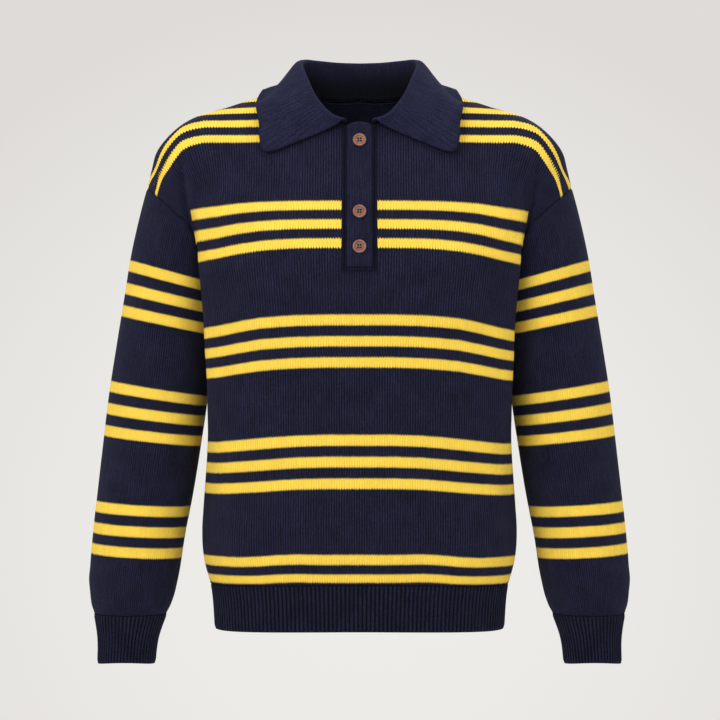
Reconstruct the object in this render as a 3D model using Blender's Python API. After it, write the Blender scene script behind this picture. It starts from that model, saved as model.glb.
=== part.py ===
"""Polo sweater with dropped shoulders, modelled hollow, as it hangs when worn.

Metres, +Z up, front towards -Y.  The height zero is where the shoulder meets the neck.
The body is one smooth form: a torso under a sloping shoulder roof, and an arm on each side.
Front, back, sleeves, ribs, collar and placket are walls laid on that form from its sizes.
"""
import bpy
import numpy as np
from mathutils import Matrix

# ---- driving sizes ------------------------------------------------------------------
WALL = 0.0022            # thickness of the knitted cloth
COLLAR_WALL = 0.0026     # the collar is knitted thicker
SEAM = 0.0003            # space left between pieces that are sewn together
SEAM_Y = 0.018           # the side seam's place from front to back
RIDGE_Y = 0.012          # the top of the shoulder, from front to back
SECTION_POWER = 2.5      # how square the torso is, seen from above
NECK_HALF_WIDTH = 0.083
NECK_FRONT_DEPTH = 0.0696
NECK_BACK_DEPTH = 0.033
NECK_Y = 0.018
HEM_TOP = -0.596
HEM_BOTTOM = -0.653
HEM_RIBS = 190
CUFF_TOP = -0.641
CUFF_BOTTOM = -0.6985
CUFF_RIBS = 40
RIB_HEIGHT = 0.0012
EDGE_DIP = 0.0048        # hem and cuffs reach lower at their sides than in front
SLOT_HALF_WIDTH = 0.0160
PLACKET_HALF_WIDTH = 0.0175
PLACKET_BOTTOM = -0.2175
SLOT_BOTTOM = -0.2130
BUTTON_RADIUS = 0.0084
BUTTON_THICKNESS = 0.0034
BUTTON_HEIGHTS = {"button_top": -0.0558, "button_middle": -0.1454, "button_bottom": -0.1883}

# torso, one row for each height
TORSO_COLUMNS = ("height", "half_width", "front", "back", "side_hollow", "corner")
TORSO = (
    (-0.660, 0.1800, 0.110, 0.108, 0.000, 0.000),
    (-0.596, 0.1860, 0.114, 0.111, 0.000, 0.000),
    (-0.560, 0.1955, 0.121, 0.117, 0.000, 0.000),
    (-0.515, 0.1948, 0.122, 0.116, 0.000, 0.000),
    (-0.455, 0.1920, 0.122, 0.112, 0.002, 0.001),
    (-0.380, 0.1915, 0.122, 0.108, 0.008, 0.006),
    (-0.310, 0.1910, 0.123, 0.108, 0.014, 0.010),
    (-0.240, 0.1980, 0.125, 0.112, 0.026, 0.0135),
    (-0.190, 0.2020, 0.125, 0.116, 0.037, 0.018),
    (-0.130, 0.2090, 0.123, 0.118, 0.030, 0.012),
    (-0.062, 0.2170, 0.118, 0.116, 0.004, 0.000),
    (0.030, 0.2220, 0.112, 0.110, 0.000, 0.000),
)

# arm, one row for each height; outer and inner are distances from the middle of the body
ARM_COLUMNS = ("height", "outer", "inner", "centre_y", "half_depth")
ARM = (
    (-0.705, 0.3270, 0.2550, -0.008, 0.0360),
    (-0.668, 0.3272, 0.2500, -0.005, 0.0375),
    (-0.641, 0.3320, 0.2400, -0.002, 0.0430),
    (-0.628, 0.3350, 0.2350, 0.000, 0.0475),
    (-0.600, 0.3370, 0.2275, 0.003, 0.0520),
    (-0.548, 0.3345, 0.2192, 0.009, 0.0560),
    (-0.488, 0.3285, 0.2082, 0.015, 0.0590),
    (-0.428, 0.3220, 0.1988, 0.019, 0.0610),
    (-0.368, 0.3150, 0.1905, 0.021, 0.0630),
    (-0.308, 0.3057, 0.1866, 0.021, 0.0650),
    (-0.248, 0.2958, 0.1796, 0.020, 0.0660),
    (-0.190, 0.2862, 0.1700, 0.018, 0.0660),
    (-0.142, 0.2750, 0.1516, 0.014, 0.0660),
    (-0.093, 0.2615, 0.1360, 0.012, 0.0660),
)
ARM_TOP = -0.093
ARM_CAP = 0.064          # the arm's top is rounded over this height

# shoulder ridge, from the neck outwards
RIDGE_COLUMNS = ("distance", "height")
RIDGE = (
    (0.000, 0.0360),
    (0.050, 0.0280),
    (0.083, 0.0195),
    (0.133, 0.0050),
    (0.164, -0.0054),
    (0.196, -0.0190),
    (0.230, -0.0370),
    (0.280, -0.0650),
)
ROOF_FALL = 0.094        # millimetres of fall at one millimetre from the ridge
ROOF_POWER = 1.6

# the armhole seam lies in a sloping plane: its top and its lowest point
ARMHOLE_TOP = (0.2660, -0.1100)
ARMHOLE_UNDER = (0.1720, -0.1930)
# in front it runs lower near the underarm, hidden under the body's overhanging front fold
TUCK_COLUMNS = ("turn", "lower")
TUCK = (
    (98, 0.0000),
    (110, 0.0050),
    (122, 0.0150),
    (134, 0.0200),
    (148, 0.0170),
    (164, 0.0070),
    (180, 0.0000),
)

# collar, one row for each place round the neck: roll line and outer edge
COLLAR_COLUMNS = ("turn", "roll_x", "roll_y", "roll_z", "edge_x", "edge_y", "edge_z")
COLLAR = (
    (0, 0.0158, -0.0600, -0.0290, 0.1172, -0.0640, -0.0738),
    (12, 0.0290, -0.0560, -0.0250, 0.1228, -0.0570, -0.0530),
    (25, 0.0410, -0.0470, -0.0150, 0.1240, -0.0470, -0.0330),
    (40, 0.0530, -0.0340, 0.0010, 0.1280, -0.0320, -0.0130),
    (60, 0.0640, -0.0110, 0.0260, 0.1275, -0.0080, -0.0042),
    (80, 0.0705, 0.0120, 0.0450, 0.1160, 0.0200, 0.0050),
    (105, 0.0675, 0.0380, 0.0543, 0.1010, 0.0520, 0.0050),
    (130, 0.0520, 0.0570, 0.0560, 0.0780, 0.0700, 0.0000),
    (155, 0.0270, 0.0670, 0.0550, 0.0400, 0.0770, -0.0050),
    (180, 0.0000, 0.0690, 0.0544, 0.0000, 0.0780, -0.0070),
)

NAVY = (0.0212, 0.0222, 0.0482, 1.0)
NAVY_DARK = (0.0137, 0.0144, 0.0331, 1.0)
BUTTON_BROWN = (0.2200, 0.0950, 0.0600, 1.0)


# ---- reading the tables ---------------------------------------------------------------
def read(rows, columns, name, at):
    """A smooth curve through one column of a table, read at the values of the first column."""
    table = np.array(rows, dtype=float)
    xs = table[:, 0]
    ys = table[:, columns.index(name)]
    slopes = np.gradient(ys, xs)
    at = np.clip(at, xs[0], xs[-1])
    left = np.clip(np.searchsorted(xs, at, side="right") - 1, 0, len(xs) - 2)
    step = xs[left + 1] - xs[left]
    t = (at - xs[left]) / step
    value = (2 * t ** 3 - 3 * t ** 2 + 1) * ys[left]
    value = value + (t ** 3 - 2 * t ** 2 + t) * step * slopes[left]
    value = value + (3 * t ** 2 - 2 * t ** 3) * ys[left + 1]
    return value + (t ** 3 - t ** 2) * step * slopes[left + 1]


def blend_min(a, b, width):
    """The smaller of two distances, rounded where they cross."""
    h = np.maximum(width - np.abs(a - b), 0.0) / width
    return np.minimum(a, b) - h * h * width / 4


def blend_max(a, b, width):
    """The larger of two distances, rounded where they cross."""
    return -blend_min(-a, -b, width)


# ---- the form -------------------------------------------------------------------------
def torso(p):
    """About the distance outside the torso: a rounded section under the shoulder roof."""
    x, y, z = np.abs(p[..., 0]), p[..., 1], p[..., 2]
    half_width = read(TORSO, TORSO_COLUMNS, "half_width", z)
    front = read(TORSO, TORSO_COLUMNS, "front", z)
    back = read(TORSO, TORSO_COLUMNS, "back", z)
    hollow = np.maximum(read(TORSO, TORSO_COLUMNS, "side_hollow", z), 0.0)
    depth = np.where(y < 0, front, back)
    corner = read(TORSO, TORSO_COLUMNS, "corner", z)
    wide = x + hollow * np.exp(-((y - SEAM_Y) / 0.060) ** 2)
    wide = np.maximum(wide - corner * np.exp(-((y + 0.055) / 0.032) ** 2), 0.0)
    size = ((wide / half_width) ** SECTION_POWER
            + (np.abs(y) / depth) ** SECTION_POWER) ** (1 / SECTION_POWER)
    size = np.maximum(size, 0.05)
    side = np.hypot(wide, y) * (1 - 1 / size)
    away = np.abs(y - RIDGE_Y) * 1000
    roof = read(RIDGE, RIDGE_COLUMNS, "height", x) - ROOF_FALL * away ** ROOF_POWER / 1000
    return blend_max(side, (z - roof) * 0.7, 0.03)


def arm(p):
    """About the distance outside the arm: an oval section with a rounded top."""
    x, y, z = np.abs(p[..., 0]), p[..., 1], p[..., 2]
    low = np.minimum(z, ARM_TOP)
    outer = read(ARM, ARM_COLUMNS, "outer", low)
    inner = read(ARM, ARM_COLUMNS, "inner", low)
    centre_y = read(ARM, ARM_COLUMNS, "centre_y", low)
    half_depth = read(ARM, ARM_COLUMNS, "half_depth", low)
    dx = x - (outer + inner) / 2
    dy = y - centre_y
    dz = np.maximum(z - ARM_TOP, 0)
    size = np.sqrt((2 * dx / (outer - inner)) ** 2 + (dy / half_depth) ** 2 + (dz / ARM_CAP) ** 2)
    size = np.maximum(size, 0.05)
    return np.sqrt(dx ** 2 + dy ** 2 + dz ** 2) * (1 - 1 / size)


def body(p):
    """The torso and the arm as one form; the fold between them is sharp low down."""
    width = np.interp(p[..., 2], (-0.19, -0.13, -0.06, 0.0), (0.004, 0.010, 0.030, 0.030))
    return blend_min(torso(p), arm(p), width)


def outward(form, p):
    """The form's unit normal, from differences 0.4 mm apart."""
    step = 0.0002
    parts = []
    for axis in range(3):
        move = np.zeros(3)
        move[axis] = step
        parts.append(form(p + move) - form(p - move))
    normal = np.stack(parts, axis=-1)
    return normal / np.maximum(np.linalg.norm(normal, axis=-1, keepdims=True), 1e-12)


def onto(form, p, rounds=6):
    """Points moved along the normal until they lie on the form."""
    for _ in range(rounds):
        step = 0.0005
        normal = outward(form, p)
        ahead = form(p + normal * step)
        here = form(p)
        slope = np.maximum((ahead - here) / step, 0.35)
        p = p - normal * np.clip(here / slope, -0.02, 0.02)[..., None]
    return p


def cast(form, start, direction, near, far):
    """Where rays from inside the form leave it, found by halving."""
    low = np.full(start.shape[:-1], near, dtype=float)
    high = np.full(start.shape[:-1], far, dtype=float)
    for _ in range(40):
        middle = (low + high) / 2
        inside = form(start + direction * middle[..., None]) < 0
        low = np.where(inside, middle, low)
        high = np.where(inside, high, middle)
    return start + direction * low[..., None]


def spaced(curve, shares):
    """Points on a row of points, at given shares of its length."""
    steps = np.linalg.norm(np.diff(curve, axis=0), axis=1)
    length = np.concatenate(([0.0], np.cumsum(steps)))
    at = np.asarray(shares) * length[-1]
    return np.stack([np.interp(at, length, curve[:, k]) for k in range(3)], axis=1)


# ---- seam lines -----------------------------------------------------------------------
def armhole(turn, shift=0.0):
    """Armhole seam: 0 is its top, pi its lowest point; a negative turn is the front half."""
    top = np.array((ARMHOLE_TOP[0], 0.0, ARMHOLE_TOP[1]))
    under = np.array((ARMHOLE_UNDER[0], 0.0, ARMHOLE_UNDER[1]))
    along = (top - under) / np.linalg.norm(top - under)
    turn = np.asarray(turn, dtype=float)
    degrees = np.degrees(np.arccos(np.clip(np.cos(turn), -1, 1)))
    turns = [row[0] for row in TUCK]
    lower = [row[1] for row in TUCK]
    tuck = np.interp(np.where(np.sin(turn) < 0, degrees, 0.0), turns, lower)
    away = np.array((along[2], 0.0, -along[0])) * (shift + tuck)[..., None]
    share = (1 - np.cos(turn)) / 2
    start = np.broadcast_to((top + under) / 2 + away, turn.shape + (3,)).copy()
    start[..., 1] = 0.0125 + (SEAM_Y - 0.0125) * share
    direction = np.cos(turn)[..., None] * along + np.sin(turn)[..., None] * np.array((0.0, 1.0, 0.0))
    return cast(arm, start, direction, 0.01, 0.14), direction


def neckline(turn):
    """Neck seam, an oval seen from above: 0 is the front, pi the back."""
    turn = np.asarray(turn, dtype=float)
    depth = np.where(np.cos(turn) > 0, NECK_FRONT_DEPTH, NECK_BACK_DEPTH)
    start = np.zeros(turn.shape + (3,))
    start[..., 0] = NECK_HALF_WIDTH * np.sin(turn)
    start[..., 1] = NECK_Y - depth * np.cos(turn)
    start[..., 2] = -0.16
    return cast(body, start, np.array((0.0, 0.0, 1.0)), 0.0, 0.30)


def shoulder(count, shift):
    """Shoulder seam from the neck to the top of the armhole, in an upright plane."""
    end, _ = armhole(np.array(0.0))
    first = neckline(np.array(np.pi / 2))
    middle = np.array((0.19, 0.0, -0.11))
    a0 = np.arctan2(first[2] - middle[2], first[0] - middle[0])
    a1 = np.arctan2(end[2] - middle[2], end[0] - middle[0])
    angle = np.linspace(a0, a1, count)
    start = np.tile(middle, (count, 1))
    points = start
    for _ in range(3):
        share = (points[:, 0] - first[0]) / (end[0] - first[0])
        start = np.tile(middle, (count, 1))
        start[:, 1] = first[1] + (end[1] - first[1]) * share + shift
        direction = np.stack((np.cos(angle), np.zeros(count), np.sin(angle)), axis=1)
        points = cast(body, start, direction, 0.01, 0.30)
    return points


# ---- panels ---------------------------------------------------------------------------
def half_section(z, side, first_x, columns):
    """Half of the torso's front (side -1) or back (side 1) at one height, evenly spaced."""
    angle = np.linspace(0.0, np.pi / 2, 90)
    start = np.zeros((90, 3))
    start[:, 1] = SEAM_Y + side * SEAM / 2
    start[:, 2] = z
    direction = np.stack((np.sin(angle), side * np.cos(angle), np.zeros(90)), axis=1)
    curve = cast(torso, start, direction, 0.01, 0.40)
    begin = np.interp(first_x, curve[:, 0], np.arange(90))
    kept = curve[int(np.ceil(begin + 1e-9)):]
    y = np.interp(first_x, curve[:, 0], curve[:, 1])
    kept = np.vstack(((first_x, y, z), kept))
    return spaced(kept, columns)


def half_panel(side, first_x, columns, low_heights, upper_rows):
    """Half of the front or back as a grid of points: rows go up, columns go outwards.

    Below the armhole each row is the torso's section.  Above it the grid is stretched between
    the middle, the armhole and the neck with the shoulder, then settled evenly on the form.
    """
    count = len(columns)
    low = np.stack([half_section(z, side, first_x, columns) for z in low_heights])
    turn = np.linspace(np.pi, 0.0, upper_rows + 1)[1:] * side
    edge, _ = armhole(turn)
    edge[:, 1] += side * SEAM / 2 * np.abs(np.cos(turn))
    neck_turn = np.linspace(0.0, np.pi / 2, 40)
    neck = neckline(neck_turn if side < 0 else np.pi - neck_turn)
    neck = neck[neck[:, 0] > first_x]
    start = neckline(np.array(np.arcsin(first_x / NECK_HALF_WIDTH)))
    if side > 0:
        start = neckline(np.array(np.pi - np.arcsin(first_x / NECK_HALF_WIDTH)))
    top = np.vstack((start[None, :], neck[:-1], shoulder(40, side * SEAM / 2)))
    top = spaced(top, columns)
    edge[-1] = top[-1]
    bottom = low[-1]
    middle = np.linspace(bottom[0], start, upper_rows + 1)[1:]
    v = (np.arange(1, upper_rows + 1) / upper_rows)[:, None, None]
    u = np.asarray(columns)[None, :, None]
    grid = (1 - v) * bottom[None] + v * top[None] + (1 - u) * middle[:, None] + u * edge[:, None]
    corners = (1 - u) * (1 - v) * bottom[0] + u * (1 - v) * bottom[-1]
    corners = corners + (1 - u) * v * top[0] + u * v * top[-1]
    grid = grid - corners
    push = np.zeros(3)
    push[1] = side * 0.05
    grid = grid + push * 4 * v * (1 - v)
    grid = onto(body, grid, 10)
    grid[:, -1] = edge
    grid[-1] = top
    for _ in range(220):
        full = np.concatenate((low[-1:], grid), axis=0)
        mean = (full[:-2, 1:-1] + full[2:, 1:-1] + full[1:-1, :-2] + full[1:-1, 2:]) / 4
        inner = full[1:-1, 1:-1]
        grid[:-1, 1:-1] = onto(body, inner + 0.9 * (mean - inner), 2)
        line = full[1:-1, 0]
        line = line + 0.5 * ((full[:-2, 0] + full[2:, 0]) / 2 - line)
        line = onto(body, line, 2)
        line[:, 0] = first_x
        grid[:-1, 0] = line
    return np.concatenate((low, grid), axis=0)


def panel_inside(grid, side, form_rows, thickness):
    """The grid's inner face: moved in along the normal, and kept in its seams' planes."""
    normal = outward(body, grid)
    normal[:form_rows] = outward(torso, grid[:form_rows])
    normal[:, 0, 0] = 0.0
    normal[:form_rows, -1] = (1.0, 0.0, 0.0)
    upper = grid.shape[0] - form_rows
    turn = np.linspace(np.pi, 0.0, upper + 1)[1:] * side
    _, direction = armhole(turn)
    normal[form_rows:, -1] = direction
    seam = grid[-1, :, 0] > NECK_HALF_WIDTH
    normal[-1, seam, 1] = 0.0
    normal = normal / np.linalg.norm(normal, axis=-1, keepdims=True)
    normal[0, :, 2] = 0.0
    return grid - normal * thickness


def mirrored(grid):
    """A grid for the whole width, from the half on the +X side."""
    other = grid[:, ::-1].copy()
    other[..., 0] *= -1
    if abs(grid[0, 0, 0]) < 1e-9:
        other = other[:, :-1]
    return np.concatenate((other, grid), axis=1)


# ---- meshes ---------------------------------------------------------------------------
def material(name, colour, roughness):
    """A plain material of one colour."""
    surface = bpy.data.materials.new(name)
    surface.use_nodes = True
    principled = surface.node_tree.nodes["Principled BSDF"]
    principled.inputs["Base Color"].default_value = colour
    principled.inputs["Roughness"].default_value = roughness
    principled.inputs["Metallic"].default_value = 0.0
    surface.diffuse_color = colour
    return surface


def enclosed(points, faces):
    """The volume inside a closed mesh, negative where its faces point inwards."""
    total = 0.0
    for face in faces:
        corners = points[list(face)]
        cross = np.cross(corners[1:-1], corners[2:])
        total += float(np.sum(cross @ corners[0]))
    return total / 6


def put_in(name, points, faces, surface):
    """One closed mesh object, its faces turned outwards."""
    points = np.asarray(points, dtype=float)
    if enclosed(points, faces) < 0:
        faces = [tuple(reversed(face)) for face in faces]
    mesh = bpy.data.meshes.new(name)
    mesh.from_pydata([tuple(p) for p in points], [], faces)
    mesh.materials.append(surface)
    mesh.update()
    thing = bpy.data.objects.new(name, mesh)
    bpy.context.collection.objects.link(thing)
    mesh.shade_smooth()
    mesh.set_sharp_from_angle(angle=0.9)
    return thing


def wall(name, outer, inner, surface, keep=None, closed=False):
    """A wall between two grids of points, with a rim along every free edge.

    keep says which cells exist; closed joins the last column to the first.
    """
    rows, columns = outer.shape[:2]
    if closed:
        across = columns
    else:
        across = columns - 1
    if keep is None:
        keep = np.ones((rows - 1, across), dtype=bool)
    offset = rows * columns
    points = np.vstack((outer.reshape(-1, 3), inner.reshape(-1, 3)))
    faces = []
    edges = {}
    for i in range(rows - 1):
        for j in range(across):
            if not keep[i, j]:
                continue
            k = (j + 1) % columns
            ring = (i * columns + j, i * columns + k, (i + 1) * columns + k, (i + 1) * columns + j)
            faces.append(ring)
            faces.append(tuple(offset + n for n in reversed(ring)))
            for a, b in zip(ring, ring[1:] + ring[:1]):
                edges[(a, b)] = edges.get((a, b), 0) + 1
    for a, b in edges:
        if (b, a) not in edges:
            faces.append((b, a, offset + a, offset + b))
    used = sorted({n for face in faces for n in face})
    number = {n: i for i, n in enumerate(used)}
    faces = [tuple(number[n] for n in face) for face in faces]
    return put_in(name, points[used], faces, surface)


def tube_with_ribs(name, rings, inner_rings, ribs, surface):
    """A tube whose outer points rise and fall as ribs, over a plain inside with half as many points.

    rings and inner_rings are functions of (height share, turns) that give points.
    """
    outer_count = ribs * 2
    inner_count = ribs // 2
    levels = (0.0, 0.5, 1.0)
    turns = np.arange(outer_count) / outer_count
    outer = np.stack([rings(level, turns) for level in levels])
    inner_turns = np.arange(inner_count) / inner_count
    inner = np.stack([inner_rings(level, inner_turns) for level in (0.0, 1.0)])
    points = np.vstack((outer.reshape(-1, 3), inner.reshape(-1, 3)))
    base = outer_count * len(levels)
    faces = []
    for i in range(len(levels) - 1):
        for j in range(outer_count):
            k = (j + 1) % outer_count
            faces.append((i * outer_count + j, (i + 1) * outer_count + j,
                          (i + 1) * outer_count + k, i * outer_count + k))
    for j in range(inner_count):
        k = (j + 1) % inner_count
        faces.append((base + j, base + k, base + inner_count + k, base + inner_count + j))
    top_outer = 0
    low_outer = outer_count * (len(levels) - 1)
    ratio = outer_count // inner_count
    for j in range(inner_count):
        k = (j + 1) % inner_count
        for step in range(ratio):
            a = (j * ratio + step) % outer_count
            b = (a + 1) % outer_count
            near = j if step < ratio // 2 else k
            faces.append((top_outer + a, top_outer + b, base + near))
            faces.append((low_outer + b, low_outer + a, base + inner_count + near))
        a = (j * ratio + ratio // 2) % outer_count
        faces.append((top_outer + a, base + k, base + j))
        faces.append((low_outer + a, base + inner_count + j, base + inner_count + k))
    return put_in(name, points, faces, surface)


# ---- the pieces -----------------------------------------------------------------------
def build_front(surface):
    """Front panel, slit at the neck for the placket."""
    shares = np.linspace(0.0, 1.0, 15)
    low_heights = np.concatenate((np.linspace(HEM_TOP + SEAM, SLOT_BOTTOM, 14), (-0.196,)))
    grid = half_panel(-1, SLOT_HALF_WIDTH, shares, low_heights, 11)
    inside = panel_inside(grid, -1, len(low_heights), WALL)
    outer, inner = mirrored(grid), mirrored(inside)
    keep = np.ones((outer.shape[0] - 1, outer.shape[1] - 1), dtype=bool)
    keep[13:, len(shares) - 1] = False
    return wall("front", outer, inner, surface, keep)


def build_back(surface):
    """Back panel."""
    shares = np.linspace(0.0, 1.0, 14)
    low_heights = np.concatenate((np.linspace(HEM_TOP + SEAM, SLOT_BOTTOM, 14), (-0.196,)))
    grid = half_panel(1, 0.0, shares, low_heights, 11)
    inside = panel_inside(grid, 1, len(low_heights), WALL)
    return wall("back", mirrored(grid), mirrored(inside), surface)


def sleeve_ring(share, turns, shift=0.0):
    """One ring of the sleeve: its plane tilts from the armhole's slope to level at the cuff."""
    outer_z = ARMHOLE_TOP[1] + (CUFF_TOP + SEAM - ARMHOLE_TOP[1]) * share
    inner_z = ARMHOLE_UNDER[1] + (CUFF_TOP + SEAM - ARMHOLE_UNDER[1]) * share
    outer_x = read(ARM, ARM_COLUMNS, "outer", outer_z)
    inner_x = read(ARM, ARM_COLUMNS, "inner", inner_z)
    top = np.array((outer_x, 0.0, outer_z))
    under = np.array((inner_x, 0.0, inner_z))
    along = (top - under) / np.linalg.norm(top - under)
    angle = turns * 2 * np.pi
    start = np.tile((top + under) / 2, (len(turns), 1))
    start[:, 1] = read(ARM, ARM_COLUMNS, "centre_y", start[:, 2])
    direction = np.cos(angle)[:, None] * along + np.sin(angle)[:, None] * np.array((0.0, -1.0, 0.0))
    return cast(arm, start, direction, 0.005, 0.14), direction


def build_sleeve(name, side, surface):
    """Sleeve, from the armhole seam to the cuff."""
    turns = np.arange(22) / 22
    first, first_way = armhole(-turns * 2 * np.pi, SEAM + 0.0002)
    outer, inner = [first], [first - first_way * WALL]
    for share in np.linspace(0.0, 1.0, 15)[1:]:
        ring, way = sleeve_ring(share, turns)
        outer.append(ring)
        inner.append(ring - way * WALL)
    outer, inner = np.stack(outer), np.stack(inner)
    outer[..., 0] *= side
    inner[..., 0] *= side
    return wall(name, outer, inner, surface, closed=True)


def build_cuff(name, side, surface):
    """Ribbed cuff."""
    def ring(level, turns, depth):
        z = CUFF_TOP - SEAM / 2 + (CUFF_BOTTOM - CUFF_TOP) * level
        outer = read(ARM, ARM_COLUMNS, "outer", z)
        inner = read(ARM, ARM_COLUMNS, "inner", z)
        depth_y = read(ARM, ARM_COLUMNS, "half_depth", z)
        angle = (turns + (0.25 / CUFF_RIBS if side > 0 else 0.0)) * 2 * np.pi
        half = (outer - inner) / 2
        x = (outer + inner) / 2 + (half - depth) * np.cos(angle)
        y = read(ARM, ARM_COLUMNS, "centre_y", z) + (depth_y - depth) * np.sin(angle) * side
        low = z - EDGE_DIP * 0.8 * level * np.cos(angle) ** 2
        return np.stack((x * side, y, low), axis=1)

    def outside(level, turns):
        rise = np.arange(len(turns)) % 2
        return ring(level, turns, RIB_HEIGHT * rise)

    def inside(level, turns):
        return ring(level, turns, RIB_HEIGHT + 0.0016)

    return tube_with_ribs(name, outside, inside, CUFF_RIBS, surface)


def build_hem(surface):
    """Ribbed hem, one band all round the bottom."""
    def ring(level, turns, depth):
        z = HEM_TOP - SEAM / 2 + (HEM_BOTTOM - HEM_TOP) * level
        angle = np.linspace(0, 2 * np.pi, 1441)
        start = np.zeros((1441, 3))
        start[:, 2] = z
        direction = np.stack((np.cos(angle), np.sin(angle), np.zeros(1441)), axis=1)
        curve = spaced(cast(torso, start, direction, 0.01, 0.4), turns)
        ahead = spaced(cast(torso, start, direction, 0.01, 0.4), (turns + 0.0005) % 1.0)
        way = ahead - curve
        way = np.where(np.linalg.norm(way, axis=1, keepdims=True) > 0.05, -way, way)
        way = way / np.linalg.norm(way, axis=1, keepdims=True)
        normal = np.stack((way[:, 1], -way[:, 0], np.zeros(len(turns))), axis=1)
        points = curve - normal * np.asarray(depth)[..., None]
        points[:, 2] -= EDGE_DIP * level * (points[:, 0] / 0.18) ** 2
        return points

    def outside(level, turns):
        return ring(level, turns, RIB_HEIGHT * (np.arange(len(turns)) % 2))

    def inside(level, turns):
        return ring(level, turns, np.full(len(turns), RIB_HEIGHT + 0.0016))

    return tube_with_ribs("hem_rib", outside, inside, HEM_RIBS, surface)


def collar_points(turn, share):
    """The middle of the collar's wall at a place round the neck (degrees) and a share across it.

    0 to 0.3 is the stand, 0.3 to 0.5 the fold, 0.5 to 1 the leaf, which stays clear of the body.
    """
    turn, share = np.broadcast_arrays(np.asarray(turn, float), np.asarray(share, float))
    back_side = np.abs(turn)

    def column(name):
        return read(COLLAR, COLLAR_COLUMNS, name, back_side)

    angle = np.radians(11.3 + back_side * (180 - 11.3) / 180)
    seam = neckline(angle)
    roll = np.stack((column("roll_x"), column("roll_y"), column("roll_z")), axis=-1)
    edge = np.stack((column("edge_x"), column("edge_y"), column("edge_z")), axis=-1)
    seam[..., 2] += 0.0016
    up = roll - seam
    up = up / np.linalg.norm(up, axis=-1, keepdims=True)
    out = edge - roll
    out = out - up * np.sum(out * up, axis=-1, keepdims=True)
    out = out / np.linalg.norm(out, axis=-1, keepdims=True)
    bend = 0.0042
    t = np.clip(share / 0.3, 0, 1)[..., None]
    stand = seam + (roll - up * bend - seam) * t
    a = (np.clip((share - 0.3) / 0.2, 0, 1) * np.radians(150))[..., None]
    fold = roll - up * bend + out * bend * (1 - np.cos(a)) + up * bend * np.sin(a)
    end = np.radians(150)
    last = roll - up * bend + out * bend * (1 - np.cos(end)) + up * bend * np.sin(end)
    way = out * np.sin(end) + up * np.cos(end)
    reach = np.linalg.norm(edge - last, axis=-1, keepdims=True)
    knee = last + way * reach * 0.12 + out * reach * 0.02
    s = np.clip((share - 0.5) / 0.5, 0, 1)[..., None]
    leaf = (1 - s) ** 2 * last + 2 * s * (1 - s) * knee + s ** 2 * edge
    here = share[..., None]
    points = np.where(here <= 0.3, stand, np.where(here <= 0.5, fold, leaf))
    for _ in range(3):
        clear = np.maximum(0.0042 - body(points), 0) * np.clip((share - 0.3) / 0.1, 0, 1)
        points = points + outward(body, points) * clear[..., None]
    return points


def build_collar(surface):
    """Collar: the stand rises from the neck seam and folds over into the leaves."""
    half = np.concatenate((np.linspace(0, 60, 9), np.linspace(60, 180, 12)[1:]))
    across = np.concatenate((np.linspace(0, 0.3, 4), np.linspace(0.3, 0.5, 5)[1:],
                             np.linspace(0.5, 1, 6)[1:]))
    middle = collar_points(half[None, :], across[:, None])
    other = middle[:, :-1].copy()
    other[..., 0] *= -1
    middle = np.concatenate((other, middle[:, ::-1]), axis=1)
    down = np.gradient(middle, axis=0)
    along = np.gradient(middle, axis=1)
    normal = np.cross(down, along)
    normal = normal / np.linalg.norm(normal, axis=-1, keepdims=True)
    half_wall = COLLAR_WALL / 2
    return wall("collar", middle - normal * half_wall, middle + normal * half_wall, surface)


def placket_grid(half_width, top, bottom, lift, columns, rows):
    """Points over the front at the middle, lifted off its surface."""
    x = np.linspace(-half_width, half_width, columns)[None, :]
    z = np.linspace(bottom, top, rows)[:, None]
    x, z = np.broadcast_arrays(x, z)
    start = np.stack((x, np.full(x.shape, 0.0), z), axis=-1)
    surface = cast(body, start, np.array((0.0, -1.0, 0.0)), -0.01, 0.3)
    normal = outward(body, surface)
    normal[..., 0] = 0.0
    normal = normal / np.linalg.norm(normal, axis=-1, keepdims=True)
    return surface + normal * lift


def build_placket(surface):
    """Two bands: the one that shows, and the one behind it in the slit."""
    top = neckline(np.array(0.0))[2]
    over_out = placket_grid(PLACKET_HALF_WIDTH, top - 0.001, PLACKET_BOTTOM, 0.0025, 4, 12)
    over_in = placket_grid(PLACKET_HALF_WIDTH, top - 0.001, PLACKET_BOTTOM, 0.0005, 4, 12)
    under_out = placket_grid(SLOT_HALF_WIDTH - SEAM, top - 0.001, SLOT_BOTTOM + SEAM, 0.0, 4, 12)
    under_in = placket_grid(SLOT_HALF_WIDTH - SEAM, top - 0.001, SLOT_BOTTOM + SEAM, -WALL, 4, 12)
    wall("placket_over", over_out, over_in, surface)
    wall("placket_under", under_out, under_in, surface)


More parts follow.
